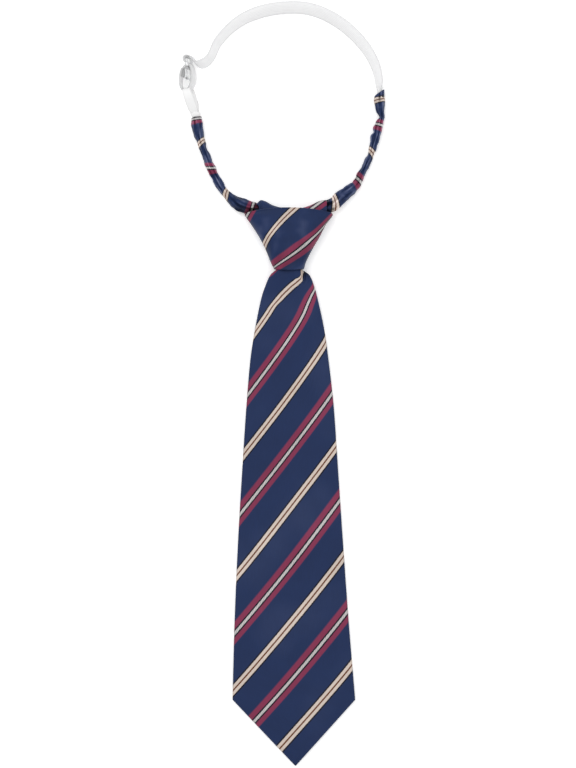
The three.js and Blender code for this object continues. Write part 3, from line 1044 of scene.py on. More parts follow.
@dataclass
class Blade:
    """The wide tail: an envelope of cloth, folded round to a seam up the middle of its back,
    with its point turned under over a lining.

    Attributes:
        flat: Width and length of the cloth that it is cut from, in metres. It is not used.
        fine_end: Down to this y the sections lie four times as close.
        hem: How far the cloth is turned under at the point.
        vent_top: Where the back's seam starts to open.
        stripe_middle: X of the line on which the table of stripes is read.
        turn_start: The cream stripe starts to turn up into the knot here, and has left the
            table's stripes at turn_end.
        crease_x: X of the sharp crease below the knot.
        right_dip: How far the cloth lies lower on the right of the crease.
        gathers: X, width and height of each soft gather below the knot.
        lining_inset: How far inside the blade's edges the lining ends.
        lining_above: How far above the open vent it reaches.
        lining_end: How far short of the tip it stops.
        lining_level: Its height over the blade's back, which sags by lining_sag.
    """

    rows: Sequence[BladeRow] = BLADE_ROWS
    flat: tuple[float, float] = (0.146, 0.318)
    stripes: Sequence[StripeRow] = BLADE_STRIPES
    tip_x: float = 3.7
    tip_y: float = -301.5
    tip_width: float = 0.6
    tip_depth: float = 1.5
    row_step: float = 2.0
    fine_end: float = -42.0
    tip_steps: int = 22
    dome_steps: int = 96
    foot_steps: int = 5
    flap_steps: int = 22
    squareness: float = 4.0
    cloth_thickness: float = 0.55
    seam_gap: float = 0.35
    hem: float = 8.0
    vent_top: float = -246.0
    stripe_middle: float = 0.6
    turn_start: float = -40.0
    turn_end: float = -34.0
    crease_x: float = 8.5
    crease_width: float = 0.9
    crease_depth: float = 2.2
    right_dip: float = 1.2
    gathers: Sequence[tuple[float, float, float]] = (
        (-6.0, 1.8, 0.5), (-1.5, 2.2, -0.4), (3.5, 1.8, 0.4),
    )
    lining_inset: float = 1.6
    lining_above: float = 12.0
    lining_end: float = 2.5
    lining_level: float = 1.15
    lining_sag: float = 0.35
    lining_steps: int = 30
    lining_thickness: float = 0.3

    def sections(self) -> dict[str, np.ndarray]:
        """Sizes of every section, from inside the knot to the tip."""
        body = Spline(self.rows).spaced(self.row_step / 4, ("y",))
        keep = (body["y"] > self.fine_end) | (np.arange(len(body["y"])) % 4 == 0)
        keep[-1] = True
        body = {name: values[keep] for name, values in body.items()}
        corner = self.rows[-1]
        share = np.linspace(0, 1, self.tip_steps + 1)[1:]
        tip = BladeRow(
            self.tip_y, self.tip_x - self.tip_width / 2, self.tip_x + self.tip_width / 2, 0,
            self.tip_depth,
        )
        columns = {}
        for name in BladeRow._fields:
            start, end = getattr(corner, name), getattr(tip, name)
            way = share ** 6 if name == "depth" else share
            columns[name] = np.concatenate([body[name], start + (end - start) * way])
        columns["base"] = np.maximum(columns["base"], 0)
        return columns

    def points(self) -> np.ndarray:
        """Places of the whole sheet, sections by places round it by 3."""
        size = self.sections()
        width = size["right"] - size["left"]
        middle = ((size["right"] + size["left"]) / 2)[:, None]
        across, up = arch(width, size["depth"], self.squareness, self.dome_steps, self.foot_steps)
        inner = self.flap_edge(size["y"], width)[:, None]
        share = np.linspace(0, 1, self.flap_steps + 1)[1:][None, :]
        foot = across[:, -1:]
        flap = foot + (inner - foot) * share
        x = middle + np.concatenate([-flap[:, ::-1], across, flap], axis=1)
        z = np.concatenate([np.zeros_like(flap), up, np.zeros_like(flap)], axis=1)
        y = np.repeat(size["y"][:, None], x.shape[1], axis=1)
        return np.stack([x, y, z + size["base"][:, None]], axis=-1)

    def flap_edge(self, y: np.ndarray, width: np.ndarray) -> np.ndarray:
        """How far from the middle each flap of the back ends.

        Args:
            y: Y of each section.
            width: Width of each section.

        Returns:
            The distance for each section.
        """
        closed = np.full_like(y, self.seam_gap / 2)
        corner_y = self.rows[-1].y
        opened = fade(y, corner_y, self.vent_top)
        hem_edge = np.maximum(width / 2 - self.hem, closed)
        return closed + (hem_edge - closed) * opened

    def stripe(self, points: np.ndarray) -> np.ndarray:
        """Which stripe each place is on, round the edges too.

        Args:
            points: Places of the sheet.

        Returns:
            The stripe at each place.
        """
        y = points[..., 1]
        known = sorted(self.stripes)
        heights = [row.y for row in known]
        run = lengths(points, 1)
        to_middle = np.abs(points[..., 0] - self.stripe_middle)
        to_middle = np.where(self.over(points) > 0, to_middle, np.inf)
        middle_column = np.argmin(to_middle, axis=1)[:, None]
        start = np.take_along_axis(run, middle_column, axis=1)
        offset = np.take_along_axis(points[..., 0], middle_column, axis=1) - self.stripe_middle
        side = run - start + offset
        index, left, right = (
            smooth_read(y, heights, [getattr(row, name) for row in known])
            for name in ("index", "left", "right")
        )
        straight = index + side / np.where(side < 0, left, right)
        # How far from the crease the turned stripes reach; further down they reach less
        below = np.maximum(-24 - y, 0)
        limit = self.crease_x - 0.9 - 0.9 * below
        near = fade(points[..., 0], limit, limit + 1.2 + 0.6 * below) * self.over(points)
        near = near * fade(y, self.turn_end, self.turn_start)
        return straight + (self.turned_stripe(points, side) - straight) * near

    def turned_stripe(self, points: np.ndarray, side: np.ndarray) -> np.ndarray:
        """Which stripe each place is on where the cream one turns up into the knot.

        Args:
            points: Places of the sheet.
            side: How far round the sheet each place is from its middle line.

        Returns:
            The stripe, which is 0 on CREAM_LINE.
        """
        rolled = points.copy()
        rolled[..., 0] = np.where(side < 0, side + self.stripe_middle, points[..., 0])
        away = signed_distance(rolled, CREAM_LINE)
        # The gathers swallow most of the stripe's width above y -23, and some at the left edge
        swallowed = 2.0 * fade(-points[..., 1], 20.4, 23.2) * (1 - np.exp(-np.abs(away) / 0.35))
        drawn_in = 0.3 * np.maximum(-away - 7.5, 0)
        return (1.1 * away + np.sign(away) * swallowed - drawn_in) * N_PER_MM

    def over(self, points: np.ndarray) -> np.ndarray:
        """1 on the front of the blade and 0 on its back."""
        front = np.zeros(points.shape[:2])
        skip = self.flap_steps + self.foot_steps
        front[:, skip:-skip] = 1
        return front

    def build(self) -> list[Piece]:
        """Makes the blade's sheet and the lining of its point."""
        return [self.build_cloth(), self.build_lining()]

    def build_cloth(self) -> Piece:
        """Makes the blade's sheet, with its crease at the knot and its soft swells."""
        points = self.points()
        stripe = self.stripe(points)
        weave = np.stack([lengths(points, 1), lengths(points, 0)], axis=-1)
        front = self.over(points)
        x, y = points[..., 0], points[..., 1]
        near_knot = fade(y, -20.5, -26.5)
        crease = np.exp(-((x - self.crease_x) / self.crease_width) ** 2) * near_knot * front
        dip = fade(y, -18.0, -27.0) * front * (1 - fade(x, self.crease_x, self.crease_x + 0.8))
        gather = sum(
            height * np.exp(-((x - place) / wide) ** 2) for place, wide, height in self.gathers
        )
        points[..., 2] -= self.crease_depth * crease + self.right_dip * dip
        points[..., 2] += gather * fade(y, -17.0, -44.0) * front
        swell = swelling(points, (30.0, 3.7, 0.32), (11.0, 9.1, 0.1))
        edge = np.minimum(x - x.min(axis=1, keepdims=True), x.max(axis=1, keepdims=True) - x)
        points[..., 2] += swell * front * np.clip(edge / 6, 0, 1) * (1 - near_knot)
        # Painted shade in the dip and the crease, along the outermost edge where the cloth turns
        # under, and under the knot; painted light and shade on the swells
        shade = 0.8 * dip * fade(y, -19.0, -25.0) + 0.5 * crease - 0.35 * swell * front
        shade += (0.4 * fade(edge, 0.15, 0.5) + 0.55 * fade(y, -14.0, -19.5)) * front
        grid = ClothGrid(points, stripe, weave, np.clip(shade, -0.3, 1))
        return grid.build("blade_cloth", self.cloth_thickness)

    def build_lining(self) -> Piece:
        """Makes the lining that shows between the flaps at the point."""
        size = self.sections()
        keep = size["y"] < self.vent_top + self.lining_above
        left = size["left"][keep] + self.lining_inset
        right = size["right"][keep] - self.lining_inset
        reach = np.maximum(right - left, 0.2)
        share = np.linspace(0, 1, self.lining_steps + 1)[None, :]
        x = left[:, None] + reach[:, None] * share
        y = np.repeat(size["y"][keep][:, None], share.shape[1], axis=1)
        y = np.maximum(y, self.tip_y + self.lining_end)
        sag = np.sin(share * math.pi) * np.minimum(reach[:, None] / 60, 1)
        points = np.stack([x, y, 0 * x], axis=-1)
        soft = swelling(points, (9.0, 5.0, 0.05))
        points[..., 2] = self.lining_level - self.lining_sag * sag + soft
        weave = np.stack([x, y], axis=-1)
        grid = ClothGrid(points, np.full_like(x, 0.5), weave, np.zeros_like(x), flipped=True)
        return grid.build("point_lining", self.lining_thickness)

    def dress(self, pieces: list[Piece], finishes: Finishes) -> None:
        """Gives the blade and its lining their cloth.

        Args:
            pieces: The blade's sheet and the lining.
            finishes: The tie's finishes.
        """
        cloth, lining = pieces
        dress(cloth, finishes.cloth, "blade")
        dress(lining, finishes.lining)
        half_area(cloth)


WRAP_ROWS = table(
    WrapRow,
    (-16.2, -9.0, 8.8, 11.0, -0.9),
    (-12.6, -10.7, 9.9, 11.8, -0.4),
    (-5.7, -13.5, 13.4, 13.2, 0),
    (1.1, -17.0, 17.4, 14.4, 0.8),
    (8.0, -21.4, 21.0, 15.4, 2.2),
    (12.4, -24.6, 24.3, 15.8, 2.8),
    (13.9, -25.3, 25.1, 15.2, 2.9),
)

# Middle lines of three stripes across the knot, as points x, y
BROWN_LINE = ((11.7, 24.0), (4.6, 18.4), (0.8, 14.9), (-2.8, 11.5), (-6.1, 8.0), (-9.0, 4.6),
              (-11.7, 1.1), (-13.6, -2.3), (-16.0, -8.0))
WHITE_LINE = ((30.0, 18.0), (24.7, 12.6), (20.7, 8.0), (16.1, 2.9), (12.3, -0.6), (8.6, -4.0),
              (4.2, -7.5), (-0.6, -10.9), (-6.0, -14.4), (-8.6, -16.1), (-13.0, -19.0))
CORNER_LINE = ((-17.7, 24.0), (-21.1, 17.9), (-24.7, 12.1), (-28.3, 5.5))


@dataclass
class KnotWrap:
    """The band of cloth round the knot, its edges turned in at the top and bottom.

    Attributes:
        flat: Width and length of the cloth that it is cut from, in metres. It is not used.
        fold_hub: X and y from which its soft folds fan out.
        fold_count: How many folds a full turn would have.
        flank_share: Below this share of the knot's depth its stripes roll round its flanks.
    """

    rows: Sequence[WrapRow] = WRAP_ROWS
    flat: tuple[float, float] = (0.05, 0.13)
    row_step: float = 0.8
    dome_steps: int = 84
    foot_steps: int = 5
    floor_steps: int = 30
    squareness: float = 2.8
    edge_radius: float = 0.75
    turned_in: float = 5.0
    cloth_thickness: float = 0.4
    fold_hub: tuple[float, float] = (-13.0, -24.0)
    fold_count: int = 13
    flank_share: float = 0.45

    def stripe(self, points: np.ndarray) -> np.ndarray:
        """Which stripe each place of the knot is on. A pinch is how much closer together the
        lines of a set lie there than on flat cloth.

        Args:
            points: Places of the sheet, rolled out at the flanks.

        Returns:
            The stripe at each place.
        """
        y = points[..., 1]
        heights = (-17.2, -9.2, -2.9, 2.9, 9.8, 15.0)
        white_pinch = np.interp(y, heights, (1.15, 1.0, 1.0, 1.3, 1.9, 2.3))
        brown_pinch = np.interp(y, (4.0, 20.0), (1.4, 1.1))
        corner_pinch = 1.3
        thinning = np.interp(y, heights, (0.55, 0.2, 0.0, 0.3, 0.3, 0.25))
        white = signed_distance(points, WHITE_LINE)
        pinched = np.abs(white) * white_pinch + thinning * (1 - np.exp(-np.abs(white) / 0.3))
        sets = (
            (0.0, signed_distance(points, BROWN_LINE) * brown_pinch),
            (1.0, np.sign(white) * pinched),
            (-1.0, signed_distance(points, CORNER_LINE) * corner_pinch),
        )
        nearest = np.full(y.shape, np.inf)
        result = np.zeros(y.shape)
        for index, distance in sets:
            closer = np.abs(distance) < nearest
            nearest = np.where(closer, np.abs(distance), nearest)
            here = index + np.clip(distance * N_PER_MM, -0.5, 0.5)
            result = np.where(closer, here, result)
        return result

    def build(self) -> list[Piece]:
        """Makes the wrap's sheet with its soft folds."""
        size = Spline(self.rows).spaced(self.row_step, ("y",))
        edged, inner, shift = with_lips(size, self.edge_radius, self.turned_in)
        level = edged["y"] + shift
        columns = {name: np.interp(level, size["y"], values) for name, values in size.items()}
        width = columns["right"] - columns["left"]
        across, up = ring(width - 2 * inner, columns["depth"] - 2 * inner, self.squareness,
                          self.dome_steps, self.foot_steps, self.floor_steps)
        middle = ((columns["right"] + columns["left"]) / 2)[:, None]
        share = 2 * across / width[:, None]
        y = level[:, None] + columns["bow"][:, None] * (1 - share ** 2)
        points = np.stack([middle + across, y, up + inner[:, None]], axis=-1)
        rolled = points.copy()
        flank = np.maximum(self.flank_share * columns["depth"][:, None] - points[..., 2], 0)
        rolled[..., 0] += share * flank
        stripe = self.stripe(rolled)
        weave = np.stack([rolled[..., 0], rolled[..., 1]], axis=-1)
        self.fold(points, inner)
        # Painted shade inside the turned edges, and a little at the flanks and along the white set;
        # painted light and shade of the soft folds
        hidden = np.repeat((inner > self.edge_radius * 1.2)[:, None], points.shape[1], axis=1)
        edge = np.abs(share) > 0.975
        shaded_set = 0.2 * np.exp(-(signed_distance(points, WHITE_LINE) / 5) ** 2)
        folds = np.maximum(self.folds(points), -0.3) + shaded_set
        shade = 0.6 * hidden + (0.25 * edge + folds) * ~hidden
        grid = ClothGrid(points, stripe, weave, shade, closed=True, flipped=True)
        return [grid.build("knot_wrap_cloth", self.cloth_thickness)]

    def fan(self, points: np.ndarray, phase: float) -> np.ndarray:
        """Waves that fan out from the knot's lower left, from -1 to 1."""
        across, up = points[..., 0] - self.fold_hub[0], points[..., 1] - self.fold_hub[1]
        waves = np.cos(self.fold_count * np.arctan2(up, across) + phase)
        return waves * fade(np.hypot(across, up), 12, 48)

    def folds(self, points: np.ndarray) -> np.ndarray:
        """Painted light and shade of the soft folds on the knot: above 0 it darkens, below 0 it
        lightens.
        """
        return -0.16 * self.fan(points, 1.9) - swelling(points, (12.0, 2.3, 0.3), (4.0, 7.7, 0.12))

    def fold(self, points: np.ndarray, inner: np.ndarray) -> None:
        """Raises the soft folds on the knot's front.

        Args:
            points: Places of the sheet, which are changed.
            inner: How far in from the outside each row is.
        """
        z = points[..., 2]
        top = z / np.maximum(z.max(axis=1, keepdims=True), 1)
        front = (1 - fade(top, 0.4, 0.75)) * (inner < 0.1)[:, None]
        swell = swelling(points, (12.0, 2.3, 0.6), (5.0, 7.7, 0.2))
        points[..., 2] += (0.4 * self.fan(points, 1.2) + swell - 0.3) * front

    def dress(self, pieces: list[Piece], finishes: Finishes) -> None:
        """Gives the wrap its cloth."""
        dress_folded(pieces[0], finishes, "knot_wrap")


COLLAR_ROWS = table(
    CollarRow,
    (-19.3, 20.2, 14.0, 5.0, 3.2),
    (-16.6, 22.3, 11.5, 4.0, 5.6),
    (-13.2, 21.6, 9.5, 3.2, 7.4),
    (-9.2, 19.4, 8.5, 2.9, 8.8),
    (-3.0, 17.9, 8.0, 2.9, 9.4),
    (6.0, 17.7, 8.0, 2.9, 9.4),
    (11.8, 19.2, 8.5, 3.2, 8.4),
    (16.6, 21.5, 10.5, 4.0, 6.2),
    (19.8, 22.4, 12.8, 5.2, 4.2),
    (21.2, 21.8, 14.5, 5.8, 3.0),
)
COLLAR_LINE = ((24.0, 25.8), (18.1, 21.2), (13.7, 17.8), (4.0, 10.3))


@dataclass
class KnotCollar:
    """The rolled cloth that shows over the top of the wrap, open at its two ears.

    Attributes:
        flat: Width and length of the cloth that it is cut from, in metres. It is not used.
        ear_slant: How far the top of the left ear leans in.
        pinch: How much closer together its stripes lie than on flat cloth.
    """

    rows: Sequence[CollarRow] = COLLAR_ROWS
    flat: tuple[float, float] = (0.05, 0.045)
    row_step: float = 0.6
    dome_steps: int = 34
    foot_steps: int = 4
    floor_steps: int = 10
    squareness: float = 2.4
    edge_radius: float = 0.35
    turned_in: float = 4.0
    ear_slant: float = 2.6
    pinch: float = 1.15
    cloth_thickness: float = 0.4

    def build(self) -> list[Piece]:
        """Makes the collar's sheet."""
        size = Spline(self.rows).spaced(self.row_step, ("x",))
        columns, inner, shift = with_lips(size, self.edge_radius, self.turned_in)
        width = columns["top"] - columns["bottom"] - 2 * inner
        depth = columns["depth"] - 2 * inner
        across, up = ring(width, depth, self.squareness, self.dome_steps, self.foot_steps,
                          self.floor_steps)
        middle = ((columns["top"] + columns["bottom"]) / 2)[:, None]
        x = (columns["x"] + shift)[:, None]
        height = up / depth[:, None]
        x = x + self.ear_slant * height * fade(x, self.rows[0].x, self.rows[0].x + 4.5)
        z = columns["base"][:, None] + inner[:, None] + up
        points = np.stack([x + 0 * across, middle + across, z], axis=-1)
        points[..., 2] += 0.3 * ripple(points, 7.0, 4.4) * np.clip(height - 0.3, 0, 1)
        distance = signed_distance(points, COLLAR_LINE) * self.pinch
        stripe = 1.0 + np.clip(distance * N_PER_MM, -0.5, 0.24)
        weave = np.stack([lengths(points, 0), lengths(points, 1)], axis=-1)
        # Painted shade inside the turned-in ends, so the open ears look dark inside
        shade = np.repeat(((inner > self.edge_radius) * 0.85)[:, None], across.shape[1], axis=1)
        grid = ClothGrid(points, stripe, weave, shade, closed=True)
        return [grid.build("knot_collar_cloth", self.cloth_thickness)]

    def dress(self, pieces: list[Piece], finishes: Finishes) -> None:
        """Gives the collar its cloth."""
        dress_folded(pieces[0], finishes, "knot_collar")


LEFT_BAND_ROWS = table(
    BandRow,
    (-17.6, 17.8, 1.8, 5.8, 4.6, 0.80, 0.05),
    (-19.9, 17.9, 1.6, 7.2, 5.6, 0.94, 0.05),
    (-23.6, 18.4, 1.2, 8.1, 6.2, 1.16, 0.03),
    (-28.8, 20.5, 0.4, 7.4, 6.4, 1.48, -0.03),
    (-34.0, 24.4, 0, 5.6, 5.8, 1.85, -0.085),
    (-38.2, 28.9, 0, 4.7, 5.0, 2.20, -0.05),
    (-43.0, 37.6, 0, 4.6, 4.6, 2.79, 0.04),
    (-45.7, 43.2, 0, 4.8, 4.8, 3.16, 0.07),
    (-48.6, 50.6, 0, 4.7, 4.6, 3.67, -0.03),
    (-50.6, 56.0, 0, 5.1, 4.9, 4.03, -0.08),
    (-52.4, 64.2, 0, 6.3, 5.2, 4.63, -0.04),
    (-53.0, 69.7, 0, 6.1, 5.4, 5.06, -0.01),
)
RIGHT_BAND_ROWS = table(
    BandRow,
    (20.6, 18.0, 1.8, 7.0, 4.6, 1.66, 0.10),
    (22.3, 18.6, 1.6, 8.0, 5.6, 1.77, 0.11),
    (26.2, 20.7, 1.2, 7.6, 6.2, 1.98, 0.11),
    (30.6, 24.9, 0.4, 7.5, 6.4, 2.30, 0.08),
    (35.4, 28.7, 0, 6.4, 5.8, 2.63, 0.05),
    (39.0, 32.3, 0, 4.6, 4.8, 2.90, 0.04),
    (42.7, 39.8, 0, 4.2, 4.4, 3.34, 0.04),
    (44.8, 44.5, 0, 4.4, 4.6, 3.64, 0.06),
    (46.6, 48.1, 0, 3.7, 4.2, 3.88, 0.07),
    (48.0, 52.6, 0, 4.2, 4.4, 4.15, 0.06),
    (50.3, 60.3, 0, 4.6, 4.6, 4.65, 0.02),
    (52.2, 67.6, 0, 4.0, 4.4, 5.13, 0),
    (52.9, 70.6, 0, 3.4, 4.2, 5.35, -0.02),
    (52.4, 75.0, 0, 4.8, 4.9, 5.65, -0.05),
    (52.0, 79.0, 0, 5.8, 5.6, 5.93, -0.03),
    (51.8, 83.8, 0, 5.9, 6.4, 6.27, -0.02),
)

# Places where an edge of a neckband bunches: y, edge, height and reach
LEFT_BUMPS = ((41.0, 1, 0.35, 1.6), (38.2, -1, 0.3, 1.5), (30.5, 1, 0.3, 1.8),
              (57.0, -1, -0.4, 2.0))
RIGHT_BUMPS = ((63.6, -1, 0.9, 1.7), (60.9, -1, -0.5, 0.9), (58.4, -1, 0.95, 2.0),
               (69.8, -1, -0.5, 1.5), (75.5, -1, 0.6, 2.4), (44.0, -1, -0.4, 2.0),
               (36.5, -1, 0.4, 2.0))


@dataclass
class Neckband:
    """A gathered tube of cloth from the knot towards the elastic, its mouth turned in.

    Attributes:
        side: left or right.
        rows: The tube's sections, from the knot to its mouth.
        flat: Width and length of the cloth that it is sewn from, in metres. It is not used.
        seed: Makes its gathers its own.
        under_reach: How far from the knot a second layer shows below the first.
        mouth_slant: How far the mouth leans across.
        painted_shadow_reach: How far from the knot a painted shadow lies on it, where it goes in
            under the knot.
        bumps: Where an edge bunches: the place's y, the edge (-1 or 1), height and reach.
        pleat_height: Height of the gathers' pleats.
        under_drop: How far the second layer lies below the brim of the first.
        stripe_run: How far along the tube one stripe is from the next, near its mouth.
    """

    side: str
    rows: Sequence[BandRow]
    flat: tuple[float, float]
    seed: float
    under_reach: float
    mouth_slant: float
    painted_shadow_reach: float
    bumps: Sequence[tuple[float, int, float, float]]
    row_step: float = 0.5
    dome_steps: int = 30
    foot_steps: int = 4
    floor_steps: int = 8
    squareness: float = 2.2
    edge_radius: float = 0.3
    turned_in: float = 4.0
    cloth_thickness: float = 0.35
    pleat_height: float = 0.42
    under_drop: float = 2.6
    stripe_run: float = 15.5

    def sections(self) -> dict[str, np.ndarray]:
        """Sizes of every section, with the way ahead and the length run so far."""
        size = Spline(self.rows).spaced(self.row_step, ("x", "y"))
        size["base"] = np.maximum(size["base"], 0)
        ahead = np.stack([np.gradient(size["x"]), np.gradient(size["y"])], axis=1)
        ahead /= np.linalg.norm(ahead, axis=1, keepdims=True)
        size["ahead_x"], size["ahead_y"] = ahead[:, 0], ahead[:, 1]
        size["run"] = np.arange(len(size["x"])) * self.row_step
        return size

    def build(self) -> list[Piece]:
        """Makes the tube with its gathers."""
        columns, inner, shift = with_lips(
            self.sections(), self.edge_radius, self.turned_in, both=False,
        )
        columns = {name: values[:, None] for name, values in columns.items()}
        inner, shift = inner[:, None], shift[:, None]
        across, up = ring(
            (columns["width"] - 2 * inner)[:, 0], (columns["depth"] - 2 * inner)[:, 0],
            self.squareness, self.dome_steps, self.foot_steps, self.floor_steps,
        )
        # The mouth is even and leans; further in the edges stray
        share = 2 * across / columns["width"]
        run = columns["run"] + shift
        to_mouth = fade(-run, -run.max() - 0.01, -run.max() + 4)
        across = across + self.edge_wander(columns, share) * (1 - to_mouth)
        lean = self.mouth_slant * share * to_mouth
        run, slide = run + lean, shift + lean
        x = columns["x"] + columns["ahead_x"] * slide + columns["ahead_y"] * across
        y = columns["y"] + columns["ahead_y"] * slide - columns["ahead_x"] * across
        top = up / np.maximum(columns["depth"], 1)
        # Two sets of pleats run along the tube and drift across it
        pleats = np.cos(7.5 * share + 0.16 * run + self.seed)
        pleats += 0.6 * np.cos(13 * share - 0.31 * run + 2 * self.seed)
        places = np.stack([x, y, up], axis=-1)
        crumple = swelling(places, (4.2, self.seed, 1.0), (1.9, self.seed + 3, 0.5))
        lift = (self.pleat_height * pleats + 0.6 * crumple) * np.clip(top * 1.6, 0, 1)
        up = up + lift * (1 - 0.9 * to_mouth) * fade(inner, 0, 0.5)
        # Near the knot a second layer shows below the first, whose edge is a raised brim
        near = fade(run, self.under_reach - 5, self.under_reach)
        under = fade(share, -0.14, -0.02) * near
        brim = np.exp(-((share - 0.08) / 0.09) ** 2) * near
        step = (self.under_drop * under - 0.4 * brim) * (up > 2.4) * (inner < 0.1)
        up = up - step * np.clip(top, 0, 1)
        # Painted shade between pleats, on the second layer, near the knot and inside the mouth;
        # painted highlight on the pleat tops and the brim, and painted light and shade on the
        # crumples
        patchy = np.clip(0.5 + 1.2 * ripple(places, 6.0, self.seed + 5), 0, 1)
        painted_ridge_sheen = np.clip(pleats - 0.2, 0, 1) * (top > 0.5) * patchy
        shade = 0.5 * np.clip(-pleats - 0.8, 0, 1) * (top > 0.3) - 0.9 * painted_ridge_sheen - 0.5 * crumple
        shade += 0.8 * under - 0.3 * brim + 0.8 * fade(run, self.painted_shadow_reach - 2, self.painted_shadow_reach)
        shade = np.clip(shade + 0.75 * (shift > 0) + 0.7 * (inner > self.edge_radius), -0.9, 0.92)
        stripe = columns["index"] + columns["twist"] * share + slide / self.stripe_run
        points = np.stack([x, y, columns["base"] + inner + up], axis=-1)
        weave = np.stack([lengths(points, 1), lengths(points, 0)], axis=-1)
        grid = ClothGrid(points, stripe, weave, shade, closed=True, flipped=True)
        return [grid.build(f"neckband_{self.side}_cloth", self.cloth_thickness)]

    def edge_wander(self, columns: dict[str, np.ndarray], share: np.ndarray) -> np.ndarray:
        """How far the tube's two edges stray outwards where its gathers bunch.

        Args:
            columns: Sizes of every section.
            share: Place across the tube, -1 to 1.

        Returns:
            Millimetres across for each place.
        """
        run = np.repeat(columns["run"], share.shape[1], axis=1)
        places = np.stack([run, np.sign(share) * 9, 0 * run], axis=-1)
        wander = swelling(places, (4.5, self.seed + 1, 0.55), (2.0, self.seed, 0.25))
        bumps = sum(
            height * np.exp(-((columns["y"] - y) / reach) ** 2) * (share * side > 0)
            for y, side, height, reach in self.bumps
        )
        return np.sign(share) * np.abs(share) ** 1.5 * (wander + bumps)

    def dress(self, pieces: list[Piece], finishes: Finishes) -> None:
        """Gives the tube its cloth."""
        dress(pieces[0], finishes.cloth, f"neckband_{self.side}")


def facing(middle: np.ndarray, across: np.ndarray) -> np.ndarray:
    """Unit direction that a strap's flat side faces, at each place along it."""
    face = np.cross(np.gradient(middle, axis=0), across)
    return face / np.linalg.norm(face, axis=1, keepdims=True)


def strap(
    name: str, middle: np.ndarray, across: np.ndarray, width: np.ndarray, thick: float,
) -> Piece:
    """A flat strap along a path, its edges rounded.

    Args:
        name: Name of the piece.
        middle: Places along its middle line, in millimetres.
        across: Unit direction across the strap at each place.
        width: Its width at each place.
        thick: Its thickness.

    Returns:
        The object, closed at both ends.
    """
    face = facing(middle, across)
    flat_steps, cap_steps = 10, 4
    share = np.linspace(-1, 1, flat_steps + 1)
    turn = np.linspace(0, math.pi, cap_steps + 1)[1:-1]
    half = (width / 2 - thick / 2)[:, None]
    u = np.concatenate([
        half * share, half + thick / 2 * np.sin(turn), half * share[::-1],
        -half - thick / 2 * np.sin(turn),
    ], axis=1)
    level = np.concatenate([
        np.ones(flat_steps + 1), np.cos(turn), -np.ones(flat_steps + 1), -np.cos(turn),
    ])[None, :]
    out = (level * thick / 2)[..., None]
    points = middle[:, None, :] + across[:, None, :] * u[..., None] + face[:, None, :] * out
    run = np.concatenate([[0], np.cumsum(np.linalg.norm(np.diff(middle, axis=0), axis=1))])
    weave = np.stack([u, np.repeat(run[:, None], u.shape[1], axis=1)], axis=-1)
    edge = width[:, None] / 2 - np.abs(u)
    edge_shade = fade(edge, 0.25, 0.8)
    grid = ClothGrid(points, np.zeros_like(u), weave, edge_shade, closed=True)
    piece = grid.build(name, capped=True)
    face_outwards(piece)
    return piece


ELASTIC_ARC_ROWS = table(
    ArcRow,
    (12, 52.6, 3.9, 6.6),
    (20, 53.0, 4.8, 7.4),
    (30, 52.8, 5.6, 7.4),
    (45, 52.2, 6.4, 7.4),
    (60, 52.2, 6.8, 7.4),
    (75, 52.4, 6.8, 7.4),
    (90, 51.5, 6.9, 7.4),
    (105, 51.0, 7.1, 7.4),
    (118, 51.1, 6.1, 7.4),
    (130, 50.6, 5.2, 7.4),
    (140, 49.8, 4.6, 7.4),
)
ELASTIC_RIGHT_END_ROWS = table(
    StrapRow,
    (50.8, 80.2, 1.3, 2.1, 0, 3.3),
    (50.7, 83.4, 1.3, 2.1, 0.1, 3.4),
    (50.5, 86.0, 1.1, 2.6, 0.3, 4.2),
)
ELASTIC_LOOP_ROWS = table(
    StrapRow,
    (-42.3, 104.6, 0, -3.2, 3.2, 7.4),
    (-44.6, 101.2, 0.1, -2.7, 3.7, 7.4),
    (-47.4, 99.0, 0.3, -2.4, 4.0, 7.4),
    (-50.2, 98.3, 0.8, -2.2, 3.6, 7.3),
    (-52.0, 99.3, 1.2, -2.2, 2.4, 7.2),
    (-53.0, 101.2, 1.5, -2.2, 1.0, 7.1),
    (-54.3, 103.7, 1.75, -2.0, 0.2, 7.1),
    (-56.4, 104.9, 1.75, -2.0, 0, 7.1),
    (-58.2, 104.3, 1.75, -2.0, 0, 7.1),
    (-58.5, 102.6, 1.75, -2.0, 0, 7.1),
    (-57.6, 101.2, 1.75, -2.0, 0, 7.1),
    (-55.8, 100.3, 1.75, -2.0, 0, 7.1),
    (-54.4, 98.6, 1.75, -2.2, 0, 7.1),
    (-53.6, 95.8, 1.7, -2.4, 0.2, 7.1),
    (-53.2, 92.0, 1.5, -2.6, 0.6, 7.1),
    (-53.8, 88.6, 1.3, -2.6, 0.8, 7.0),
    (-55.4, 86.0, 1.25, -2.2, 0.6, 6.8),
    (-57.6, 84.5, 1.2, -1.2, 0.3, 6.6),
    (-59.7, 84.9, 1.2, -1.4, 0.5, 6.7),
    (-60.8, 87.0, 1.2, -1.6, 0.8, 7.0),
    (-61.0, 90.0, 1.3, -1.6, 0.8, 7.1),
    (-60.7, 93.2, 1.6, -1.7, 0.5, 7.1),
    (-59.9, 95.8, 1.75, -2.0, 0.2, 7.1),
    (-59.2, 97.6, 1.75, -2.0, 0, 7.1),
)
ELASTIC_END_ROWS = table(
    StrapRow,
    (-60.0, 92.8, 1.8, -1.8, 0.4, 7.0),
    (-59.2, 95.6, 1.8, -2.0, 0.2, 7.0),
    (-58.6, 97.8, 1.8, -2.0, 0, 7.0),
    (-57.9, 98.9, 1.8, -2.0, 0, 7.0),
    (-56.8, 99.1, 1.8, -2.0, 0, 7.0),
    (-55.9, 98.3, 1.8, -2.0, 0, 7.0),
    (-55.6, 96.8, 1.8, -2.0, 0, 7.0),
)


